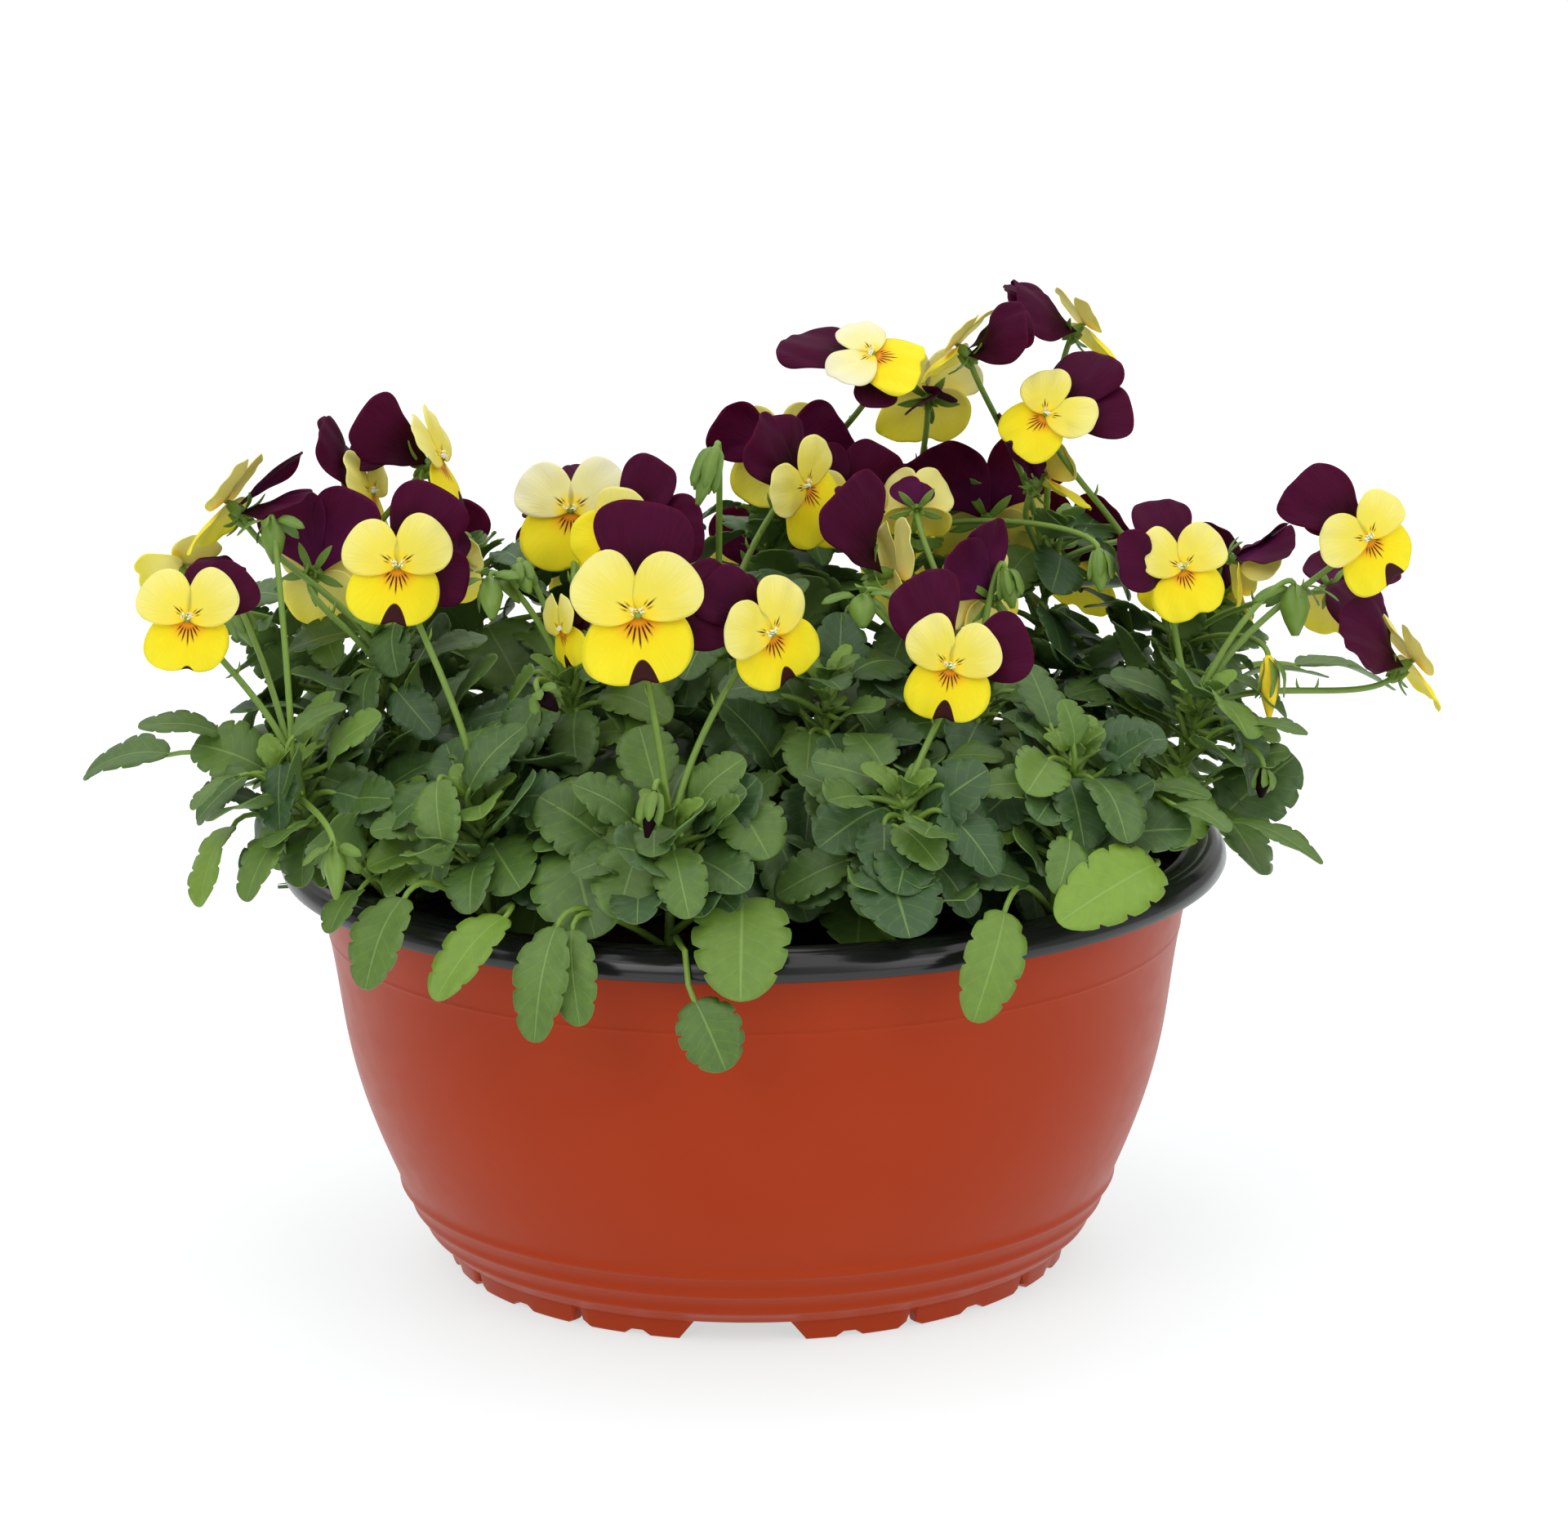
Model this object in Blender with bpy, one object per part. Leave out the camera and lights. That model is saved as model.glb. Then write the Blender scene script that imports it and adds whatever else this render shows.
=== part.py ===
"""A bowl planter of garden pansies: a two-colour plastic bowl, its soil, leafy shoots and blooms.

Sizes are in millimetres and angles in degrees until a mesh is finished, when it is scaled to metres.
The bowl's axis is world Z, its feet stand on z = 0, and the side that is looked at faces -Y.
"""

import math
import random

import bmesh
import bpy
from mathutils import Matrix, Vector
from mathutils.bvhtree import BVHTree

MM = 0.001
UP = Vector((0, 0, 1))

# The bowl: outer radius at each height, from under the rim down to the waist above the feet.
WALL_PROFILE = (
    (112.8, 124.9),
    (103, 123.1),
    (77, 118.9),
    (53, 114.2),
    (35, 107.6),
    (17.5, 99.5),
    (6.5, 92.4),
)
OUTER_THICKNESS = 1.2
LINER_THICKNESS = 1.0
GAP = 0.3
FLOOR_UNDERSIDE = 6.5
FOOT_OUTER_RADIUS = 89.5
FOOT_INNER_RADIUS = 85.8
ARCH_HEIGHT = 5.5
NOTCH_HEIGHT = 4.5
# The rolled rim's section, from under its root outwards and over the top to the inside.
RIM_PROFILE = ((125.2, 113.1), (134.3, 115.2), (135.0, 118.0), (133.3, 121.6), (128.5, 123.0), (122.6, 121.6))

# Feet repeat every quarter turn: an arch at 0, and a narrow notch on each side of the long feet.
QUARTER_ANGLES = (0, 8, 10, 20, 30, 31.5, 33, 45, 57, 58.5, 60, 70, 80, 82)
ARCH_EDGE = 8
NOTCH_CENTRES = (31.5, 58.5)
FIRST_ARCH = -93

DRAIN_HOLES = 8
DRAIN_RADIUS = 4
DRAIN_CIRCLE = 58

SOIL_EDGE_HEIGHT = 110
SOIL_DOME = ((0.8, 112.2), (0.45, 114.4), (0.15, 115.4))

STEM_HALF = 1.3
STEM_NODES = (0.35, 0.65, 0.92)
NODE_LENGTH = 3.0
PETIOLE_HALF = 0.6
# A branch's root: how far from the stem's centre it stands, and its half width.
ROOT_REACH = STEM_HALF + 1.2
ROOT_HALF = 0.9
LEAF_HALF_THICKNESS = 0.35
CLEARANCE = 0.35

# Each shoot: where it leaves the soil (x, y), and its growing tip (x, y, z).
SHOOTS = (
    ((-23, -107), (-22, -106, 150)),
    ((-72, -88), (-73, -86, 152)),
    ((36, -104), (40, -100, 156)),
    ((80, -80), (86, -80, 162)),
    ((-96, -62), (-126, -70, 158)),
    ((-94, -28), (-102, -34, 176)),
    ((-52, -50), (-50, -56, 170)),
    ((-12, -28), (-9, -32, 180)),
    ((19, -58), (20, -60, 174)),
    ((58, -38), (62, -44, 172)),
    ((106, -30), (124, -34, 166)),
    ((-74, 42), (-80, 44, 172)),
    ((-36, 62), (-36, 60, 176)),
    ((4, 58), (6, 54, 186)),
    ((42, 72), (48, 70, 184)),
    ((74, 56), (88, 56, 188)),
    ((98, 34), (126, 32, 172)),
    ((-104, 16), (-126, 14, 170)),
)

# Each bloom: its throat (x, y, z), the way it faces, its lift, its roll and its size.
# 0 faces -Y and positive angles turn it towards +X; a positive roll is anticlockwise, seen from in front.
BLOOMS = (
    ((-152, -70, 201), -8, 12, -4, 0.88),
    ((-160, -6, 202), -165, 42, 75, 0.8),
    ((-144, -30, 225), -107, 36, 0, 0.98),
    ((-120, -24, 204), 160, -10, 0, 0.95),
    ((-108, 8, 220), 75, 15, 0, 0.9),
    ((-95, -75, 216), 4, 8, -3, 0.93),
    ((-88, 6, 230), 84, 24, 0, 0.95),
    ((-80, -42, 210), 150, 0, 0, 0.62),
    ((-50, -14, 219), -5, 15, 0, 1.0),
    ((-36, -45, 217), -30, 10, -55, 0.86),
    ((-30, -104, 208), 3, 12, 2, 1.1),
    ((-51, -66, 196), -62, 0, 14, 0.72),
    ((5, -93, 200), 34, 8, 20, 0.9),
    ((9, 34, 226), 172, 5, 0, 0.98),
    ((15, -20, 226), 52, 8, 32, 0.88),
    ((27, 8, 215), 5, -5, 0, 0.72),
    ((39, -38, 205), 106, 0, -12, 1.0),
    ((47, 0, 216), 180, 0, 0, 0.8),
    ((35, 8, 258), 12, 58, 70, 0.88),
    ((52, 56, 240), 180, 20, 0, 1.0),
    ((60, 24, 258), -107, 42, 0, 0.85),
    ((96, 40, 261), 108, 34, 0, 0.78),
    ((84, 4, 241), -28, 40, -38, 0.84),
    ((84, 24, 220), 110, 35, 0, 0.85),
    ((70, 64, 202), 175, 10, 0, 1.1),
    ((64, -34, 197), -140, -4, -28, 0.86),
    ((53, -95, 191), -18, 10, -8, 0.82),
    ((119, -36, 205), 24, 15, 10, 0.82),
    ((116, 2, 195), -40, 5, 0, 0.6),
    ((138, 2, 199), 95, -35, 0, 0.7),
    ((172, -22, 210), 22, 10, 32, 0.84),
    ((186, -10, 172), 100, 28, 0, 0.9),
    ((167, 14, 187), 150, -35, 0, 0.74),
    ((-96, 66, 186), -150, 12, 6, 0.95),
    ((-50, 92, 182), -170, 15, -10, 1.0),
    ((2, 102, 178), 178, 12, 5, 0.95),
    ((46, 106, 186), 165, 14, -8, 1.05),
    ((98, 84, 184), 145, 12, 12, 0.95),
    ((140, 48, 182), 118, 10, 0, 0.9),
)

# A petal: turn from straight up, length, width, hub band (0 front, 1 back), hub side, and how far its
# widest part stands behind its root.
PETALS = (
    (-27, 26, 15, 1, 6, 2.0),
    (27, 26, 15, 1, 0, 2.0),
    (-64, 18, 14, 0, 5, 0.8),
    (64, 18, 14, 0, 1, 0.8),
    (180, 17, 27, 0, 3, -1.5),
)
PETAL_HALF_THICKNESS = 0.4
HUB_ANGLES = (0, 48, 90, 150, 210, 270, 312)
# The hub's rings, front to back: how far behind the throat, and radius.
HUB_RINGS = ((-1.8, 2.4), (0.0, 3.2), (2.0, 2.7), (5.5, 1.2))
STALK_HALF = 0.8
STALK_SIDE = 3
STALK_STEPS = 4
STALK_FOOT_GAP = 3.4

# Leaves placed one by one: shoot, blade's base (x, y, z), blade's tip (x, y, z) and width.
LEAVES = (
    (5, (-164, -22, 152), (-190, -4, 142), 13),
    (5, (-146, -58, 166), (-168, -60, 169), 10),
    (5, (-143, -62, 141), (-151, -76, 122), 14),
    (5, (-126, -90, 146), (-136, -101, 130), 14),
    (5, (-139, -82, 160), (-150, -95, 154), 8),
    (5, (-106, -98, 132), (-113, -112, 124), 10),
    (2, (-93, -114, 134), (-103, -125, 112), 17),
    (2, (-66, -120, 130), (-84, -136, 112), 14),
    (1, (-52, -130, 130), (-58, -142, 102), 14),
    (1, (-14, -138, 126), (-8, -147, 98), 15),
    (1, (-2, -116, 138), (-2, -143, 118), 20),
    (4, (66, -120, 130), (57, -138, 105), 15),
    (4, (108, -96, 136), (80, -124, 128), 19),
    (11, (130, -62, 139), (155, -74, 130), 11),
    (11, (131, -36, 146), (150, -32, 152), 10),
    (11, (133, -46, 162), (153, -51, 161), 9),
    (1, (-45, -106, 147), (-41, -126, 130), 21),
    (7, (-40, -92, 158), (-60, -104, 150), 14),
    (2, (-42, -98, 147), (-58, -112, 146), 9),
    (1, (-21, -124, 149), (-17, -138, 134), 13),
    (1, (-5, -104, 156), (4, -119, 145), 17),
    (9, (6, -93, 144), (14, -106, 124), 17),
    (3, (38, -114, 152), (49, -124, 143), 13),
    (9, (20, -80, 159), (27, -92, 138), 16),
    (4, (77, -94, 157), (60, -100, 159), 11),
    (4, (84, -106, 146), (80, -118, 134), 11),
    (3, (30, -116, 132), (42, -128, 130), 10),
    (2, (-76, -92, 158), (-61, -86, 174), 15),
    (2, (-84, -98, 162), (-82, -110, 145), 13),
    (2, (-88, -90, 146), (-103, -93, 147), 11),
    (5, (-124, -78, 170), (-110, -72, 177), 9),
    (10, (52, -74, 160), (68, -80, 162), 10),
    (4, (86, -90, 168), (83, -88, 180), 11),
    (11, (106, -70, 150), (124, -78, 150), 11),
    (11, (114, -82, 149), (128, -92, 144), 11),
    (18, (-122, -2, 158), (-148, -6, 160), 19),
    (16, (94, 48, 200), (113, 46, 196), 9),
    (12, (-58, 22, 184), (-76, 18, 192), 12),
    (17, (138, -12, 168), (162, -20, 170), 10),
    (17, (160, 50, 158), (190, 60, 148), 16),
    (15, (46, 112, 146), (52, 147, 132), 18),
    (13, (-44, 110, 142), (-52, 146, 126), 18),
)

# Buds and spent blooms on shoots: shoot, tip of the stalk (x, y, z), the bud's far end and its width.
BUDS = (
    (8, (-9, -70, 246), (-14, -76, 232), 6),
    (5, (-143, -30, 196), (-138, -36, 186), 6),
    (11, (150, -52, 178), (158, -58, 168), 7),
    (17, (160, -2, 160), (164, -12, 150), 5),
    (1, (-26, -122, 164), (-28, -130, 154), 6),
)

FILL_SEED = 41
FILL_LEAVES_PER_NODE = 2
GOLDEN_ANGLE = 137.5
FILL_PETIOLE = (12, 20)
FILL_BLADE = (22, 29)
FILL_WIDTH = (13, 18)
FILL_TURNS = (0, 20, -20, 40, -40, 65, -65)
FOLIAGE_LIMITS = Vector((186, 144, 196))


def clear_scene() -> None:
    """Remove whatever the scene holds."""
    for existing in list(bpy.data.objects):
        bpy.data.objects.remove(existing)


def material(name: str, colour: tuple, roughness: float) -> bpy.types.Material:
    """Make a plain material of one colour."""
    made = bpy.data.materials.new(name)
    made.use_nodes = True
    shader = made.node_tree.nodes["Principled BSDF"]
    shader.inputs["Base Color"].default_value = (*colour, 1)
    shader.inputs["Roughness"].default_value = roughness
    shader.inputs["Metallic"].default_value = 0
    made.diffuse_color = (*colour, 1)
    return made


def finish(bm: bmesh.types.BMesh, name: str, surface: bpy.types.Material, sharp: float) -> bpy.types.Object:
    """Scale a mesh to metres and put it in the scene as a named object."""
    bmesh.ops.scale(bm, vec=(MM, MM, MM), verts=bm.verts)
    mesh = bpy.data.meshes.new(name)
    bm.to_mesh(mesh)
    bm.free()
    mesh.materials.append(surface)
    mesh.shade_smooth()
    mesh.set_sharp_from_angle(angle=math.radians(sharp))
    piece = bpy.data.objects.new(name, mesh)
    bpy.context.collection.objects.link(piece)
    return piece


def loft(bm: bmesh.types.BMesh, rings: list) -> list:
    """Skin rings of equally many points, cap both ends, and return the bands of side faces."""
    loops = [[bm.verts.new(point) for point in ring] for ring in rings]
    bands = []
    for low, high in zip(loops, loops[1:]):
        count = len(low)
        band = []
        for i in range(count):
            j = (i + 1) % count
            band.append(bm.faces.new((low[i], low[j], high[j], high[i])))
        bands.append(band)
    bm.faces.new(list(reversed(loops[0])))
    bm.faces.new(loops[-1])
    bmesh.ops.recalc_face_normals(bm, faces=bm.faces[:])
    return bands


def section(centre: Vector, ahead: Vector, side: Vector, half_width: float, half_thickness: float) -> list:
    """Four corners around a centre, anticlockwise about the direction of growth."""
    side = (side - side.project(ahead)).normalized()
    across = side * half_width
    over = ahead.normalized().cross(side) * half_thickness
    return [centre + across + over, centre - across + over, centre - across - over, centre + across - over]


def extrude_through(bm: bmesh.types.BMesh, face: bmesh.types.BMFace, sections: list) -> None:
    """Extrude a four-sided face through sections, each turned so that the tube doesn't twist."""
    for corners in sections:
        face = bmesh.ops.extrude_discrete_faces(bm, faces=[face])["faces"][0]
        old = [vertex.co.copy() for vertex in face.verts]

        def travel(shift: int) -> float:
            return sum((old[i] - corners[(i + shift) % 4]).length for i in range(4))

        shift = min(range(4), key=travel)
        for i, vertex in enumerate(face.verts):
            vertex.co = corners[(i + shift) % 4]


def tube_tree(sections: list) -> BVHTree:
    """A search tree of the tube through these sections."""
    points = [corner for corners in sections for corner in corners]
    faces = [(0, 1, 2, 3), tuple(len(points) - 4 + i for i in range(4))]
    for start in range(0, len(points) - 4, 4):
        for i in range(4):
            j = (i + 1) % 4
            faces.append((start + i, start + j, start + 4 + j, start + 4 + i))
    return BVHTree.FromPolygons(points, faces)


def fattened(sections: list) -> list:
    """The same sections grown by the clearance that neighbours keep."""
    grown = []
    for corners in sections:
        centre = sum(corners, Vector()) / 4
        wide = (corners[0] - corners[1]).length / 2
        thick = (corners[1] - corners[2]).length / 2
        across = (corners[0] - corners[1]).normalized() * (wide + CLEARANCE)
        over = (corners[1] - corners[2]).normalized() * (thick + CLEARANCE)
        signs = ((1, 1), (-1, 1), (-1, -1), (1, -1))
        grown.append([centre + across * a + over * o for a, o in signs])
    return grown


class Placed:
    """Search trees of the solids placed so far, which later growth keeps clear of."""

    def __init__(self) -> None:
        self.trees: list = []

    def add(self, owner: str, tree: BVHTree) -> None:
        """Remember a solid under the name of the piece that owns it."""
        self.trees.append((owner, tree))

    def is_clear(self, sections: list, ignore: str = "") -> bool:
        """Whether a tube, with its clearance, misses all that other pieces hold."""
        tree = tube_tree(fattened(sections))
        return not any(tree.overlap(other) for owner, other in self.trees if owner != ignore)


def wall_radius(height: float) -> float:
    """Outer radius of the bowl at a height."""
    for (high, wide), (low, narrow) in zip(WALL_PROFILE, WALL_PROFILE[1:]):
        if height >= low:
            return narrow + (wide - narrow) * (height - low) / (high - low)
    return WALL_PROFILE[-1][1]


def soil_height(x: float, y: float) -> float:
    """Height of the soil's domed top at a place."""
    reach = math.hypot(x, y) / wall_radius(SOIL_EDGE_HEIGHT)
    return SOIL_EDGE_HEIGHT + 5.6 * (1 - min(reach, 1) ** 2)


def bowl_angles() -> list:
    """Angles of the bowl's facets, anticlockwise from the front arch."""
    return [FIRST_ARCH + quarter * 90 + angle for quarter in range(4) for angle in QUARTER_ANGLES]


def foot_height(angle: float) -> float:
    """How far the foot ring is cut away at an angle: an arch, a notch, or 0 on a foot."""
    within = (angle - FIRST_ARCH) % 90
    if min(within, 90 - within) <= ARCH_EDGE:
        return ARCH_HEIGHT
    return NOTCH_HEIGHT if within in NOTCH_CENTRES else 0


def bowl_ring(radius: float, height: float) -> list:
    """A ring of the bowl's facets at one height."""
    angles = [math.radians(angle) for angle in bowl_angles()]
    return [Vector((radius * math.cos(a), radius * math.sin(a), height)) for a in angles]


def foot_ring(radius: float) -> list:
    """A ring that runs along the bottom of the feet."""
    ring = bowl_ring(radius, 0)
    for point, angle in zip(ring, bowl_angles()):
        point.z = foot_height(angle)
    return ring


def drain_cutter() -> bpy.types.Object:
    """Pins that cut the drainage holes through both floors."""
    bm = bmesh.new()
    for i in range(DRAIN_HOLES):
        angle = math.radians(360 * i / DRAIN_HOLES)
        at = Vector((DRAIN_CIRCLE * math.cos(angle), DRAIN_CIRCLE * math.sin(angle), FLOOR_UNDERSIDE))
        bmesh.ops.create_cone(
            bm, cap_ends=True, segments=12, radius1=DRAIN_RADIUS, radius2=DRAIN_RADIUS, depth=20,
            matrix=Matrix.Translation(at),
        )
    cutter = finish(bm, "drain_cutter", material("cutter", (1, 0, 0), 0.5), 30)
    cutter.hide_render = True
    cutter.display_type = "WIRE"
    return cutter


def cut(piece: bpy.types.Object, cutter: bpy.types.Object) -> None:
    """Cut a piece with a Boolean modifier."""
    boolean = piece.modifiers.new("drain_holes", "BOOLEAN")
    boolean.operation = "DIFFERENCE"
    boolean.solver = "EXACT"
    boolean.object = cutter


def layer_rings(inset: float, stations: list) -> list:
    """Rings of a surface that lies a distance inside the bowl's outer surface."""
    return [bowl_ring(wall_radius(height) - inset, height) for height in stations]


def build_bowl(placed: Placed) -> None:
    """The terracotta outer wall, the black liner with its rolled rim, and the soil."""
    stations = [height for height, _ in WALL_PROFILE]
    rising = list(reversed(stations))
    inner = OUTER_THICKNESS
    liner_out = inner + GAP
    liner_in = liner_out + LINER_THICKNESS
    floor_top = FLOOR_UNDERSIDE + OUTER_THICKNESS
    liner_floor = floor_top + GAP
    soil_floor = liner_floor + LINER_THICKNESS + GAP
    foot = [foot_ring(FOOT_INNER_RADIUS), foot_ring(FOOT_OUTER_RADIUS)]

    bm = bmesh.new()
    underside = bowl_ring(FOOT_INNER_RADIUS - 0.6, FLOOR_UNDERSIDE)
    inner_floor = bowl_ring(FOOT_OUTER_RADIUS + 0.6, floor_top)
    outside = layer_rings(0, rising)
    inside = layer_rings(inner, [height for height in stations if height > floor_top])
    loft(bm, [underside, *foot, *outside, *inside, inner_floor])
    wall = finish(bm, "pot_outer_wall", material("terracotta_plastic", (0.40, 0.06, 0.03), 0.45), 40)

    bm = bmesh.new()
    high = [height for height in stations if height > soil_floor]
    liner_outer_floor = bowl_ring(FOOT_OUTER_RADIUS, liner_floor)
    liner_inner_floor = bowl_ring(FOOT_OUTER_RADIUS - 0.4, liner_floor + LINER_THICKNESS)
    rim = [bowl_ring(radius, height) for radius, height in RIM_PROFILE]
    outside = layer_rings(liner_out, list(reversed(high)))
    inside = layer_rings(liner_in, high)
    loft(bm, [liner_outer_floor, *outside, *rim, *inside, liner_inner_floor])
    liner = finish(bm, "pot_inner_liner_with_rim", material("black_plastic", (0.01, 0.01, 0.012), 0.3), 40)

    cutter = drain_cutter()
    cut(wall, cutter)
    cut(liner, cutter)

    bm = bmesh.new()
    sides = [SOIL_EDGE_HEIGHT, *[height for height in high if height < SOIL_EDGE_HEIGHT]]
    rings = layer_rings(liner_in + GAP, list(reversed(sides)))
    edge = wall_radius(SOIL_EDGE_HEIGHT) - liner_in - GAP
    dome = [bowl_ring(edge * share, height) for share, height in SOIL_DOME]
    loft(bm, [bowl_ring(FOOT_OUTER_RADIUS - 1.2, soil_floor), *rings, *dome])
    soil = finish(bm, "potting_soil", material("potting_soil", (0.035, 0.02, 0.012), 0.95), 60)

    for piece in (wall, liner, soil):
        points = [vertex.co / MM for vertex in piece.data.vertices]
        faces = [tuple(polygon.vertices) for polygon in piece.data.polygons]
        placed.add(piece.name, BVHTree.FromPolygons(points, faces))


def bezier(points: list, along: float) -> Vector:
    """A point of the smooth curve that four control points give."""
    a, b, c, d = points
    back = 1 - along
    return a * back**3 + b * (3 * along * back**2) + c * (3 * along**2 * back) + d * along**3


class Shoot:
    """A leafy stem: square in section, with a short joint at each node where leaves and buds leave it."""

    def __init__(self, number: int, base: tuple, tip: tuple) -> None:
        self.name = f"shoot_{number:02d}"
        foot = Vector((*base, soil_height(*base) + GAP))
        top = Vector(tip)
        reach = (top.z - foot.z) / 3
        self.curve = [foot, foot + UP * reach, top - UP * reach, top]
        self.branches: list = []

    def at(self, share: float) -> Vector:
        """The stem's centre, a share of the way up."""
        return bezier(self.curve, share)

    def stem_sections(self) -> list:
        """Sections from the foot, through both ends of each node, to the tip."""
        length = (self.curve[3] - self.curve[0]).length
        half_node = NODE_LENGTH / 2 / length
        shares = [0]
        for node in STEM_NODES:
            shares += [node - half_node, node + half_node]
        shares.append(1.06)
        return [section(self.at(share), UP, Vector((1, 0, 0)), STEM_HALF, STEM_HALF) for share in shares]

    def nearest_node(self, target: Vector, lowered: float) -> int:
        """The node whose height best suits a branch that ends at a target."""
        heights = [abs(self.at(share).z - (target.z - lowered)) for share in STEM_NODES]
        return heights.index(min(heights))

    def try_branch(self, target: Vector, sections: list, placed: Placed, lowered: float) -> bool:
        """Keep a branch if its tube is clear and a face of the stem is free for it."""
        first = self.nearest_node(target, lowered)
        ahead = target - self.at(STEM_NODES[first])
        toward = Vector((ahead.x, ahead.y, 0)).normalized()
        sides = (Vector((0, 1, 0)), Vector((-1, 0, 0)), Vector((0, -1, 0)), Vector((1, 0, 0)))
        ranked = sorted(range(4), key=lambda i: -sides[i].dot(toward))
        for node in sorted(range(len(STEM_NODES)), key=lambda n: abs(n - first)):
            start = self.at(STEM_NODES[node])
            for side in ranked[:3]:
                if any(branch[:2] == (node, side) for branch in self.branches):
                    continue
                outward = sides[side]
                root = section(start + outward * ROOT_REACH, outward, UP.cross(outward), ROOT_HALF, ROOT_HALF)
                if placed.is_clear([root, *sections], self.name) and self.misses_own(sections):
                    self.branches.append((node, side, [root, *sections]))
                    placed.add(self.name, tube_tree([root, *sections]))
                    return True
        return False

    def misses_own(self, sections: list) -> bool:
        """Whether a branch stays clear of this shoot's other branches and its stem."""
        tree = tube_tree(fattened(sections))
        others = [tube_tree(branch[2]) for branch in self.branches]
        others.append(tube_tree(self.stem_sections()))
        return not any(tree.overlap(other) for other in others)

    def build(self, surface: bpy.types.Material) -> None:
        """Loft the stem and extrude every branch from its face."""
        bm = bmesh.new()
        bands = loft(bm, self.stem_sections())
        for node, side, sections in self.branches:
            extrude_through(bm, bands[2 * node + 1][side], sections)
        finish(bm, self.name, surface, 30)


def leaf_sections(base: Vector, tip: Vector, width: float) -> list:
    """A leaf blade from its base to its tip, arched a little along its length."""
    along = tip - base
    side = along.cross(UP)
    if side.length < 0.3 * along.length:
        outward = Vector((base.x, base.y, 0))
        side = UP.cross(outward)
    stations = ((0.0, 0.14, 0.0), (0.45, 1.0, 0.08), (1.0, 0.35, 0.0))
    blade = []
    for share, wide, rise in stations:
        centre = base + along * share + UP * (rise * along.length)
        blade.append(section(centre, along, side, width * wide / 2, LEAF_HALF_THICKNESS))
    return blade


def bud_sections(start: Vector, tip: Vector, end: Vector, width: float) -> list:
    """A stalk that climbs to its tip and hooks over into a bud."""
    side = Vector((1, 0, 0))
    middle = start.lerp(tip, 0.5) + UP * 4
    stalk = section(middle, tip - start, side, PETIOLE_HALF, PETIOLE_HALF)
    top = section(tip, end - start, side, PETIOLE_HALF, PETIOLE_HALF)
    belly = section(tip.lerp(end, 0.5), end - tip, side, width / 2, width / 2)
    return [stalk, top, belly, section(end, end - tip, side, width / 5, width / 5)]


def bloom_matrix(throat: tuple, facing: float, lift: float, roll: float, size: float) -> Matrix:
    """Placement of a bloom that is modelled at the origin, facing -Y with its upper petals up."""
    turn = Matrix.Rotation(math.radians(facing), 4, "Z")
    tilt = Matrix.Rotation(math.radians(-lift), 4, "X")
    spin = Matrix.Rotation(math.radians(-roll), 4, "Y")
    return Matrix.Translation(Vector(throat)) @ turn @ tilt @ spin @ Matrix.Scale(size, 4)


def petal_sections(turn: float, length: float, width: float, band: int, behind: float) -> list:
    """A petal's widest part and its edge, which grow from its claw on the hub."""
    angle = math.radians(turn)
    out = Vector((math.sin(angle), 0, math.cos(angle)))
    side = Vector((math.cos(angle), 0, -math.sin(angle)))
    depth = -0.9 if band == 0 else 1.0
    stations = ((0.62 * length, width / 2, behind), (length, 0.3 * width, behind * 0.4))
    shapes = []
    for reach, half_width, back in stations:
        centre = out * reach + Vector((0, depth + back, 0))
        shapes.append(section(centre, out, side, half_width, PETAL_HALF_THICKNESS))
    return shapes


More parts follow.
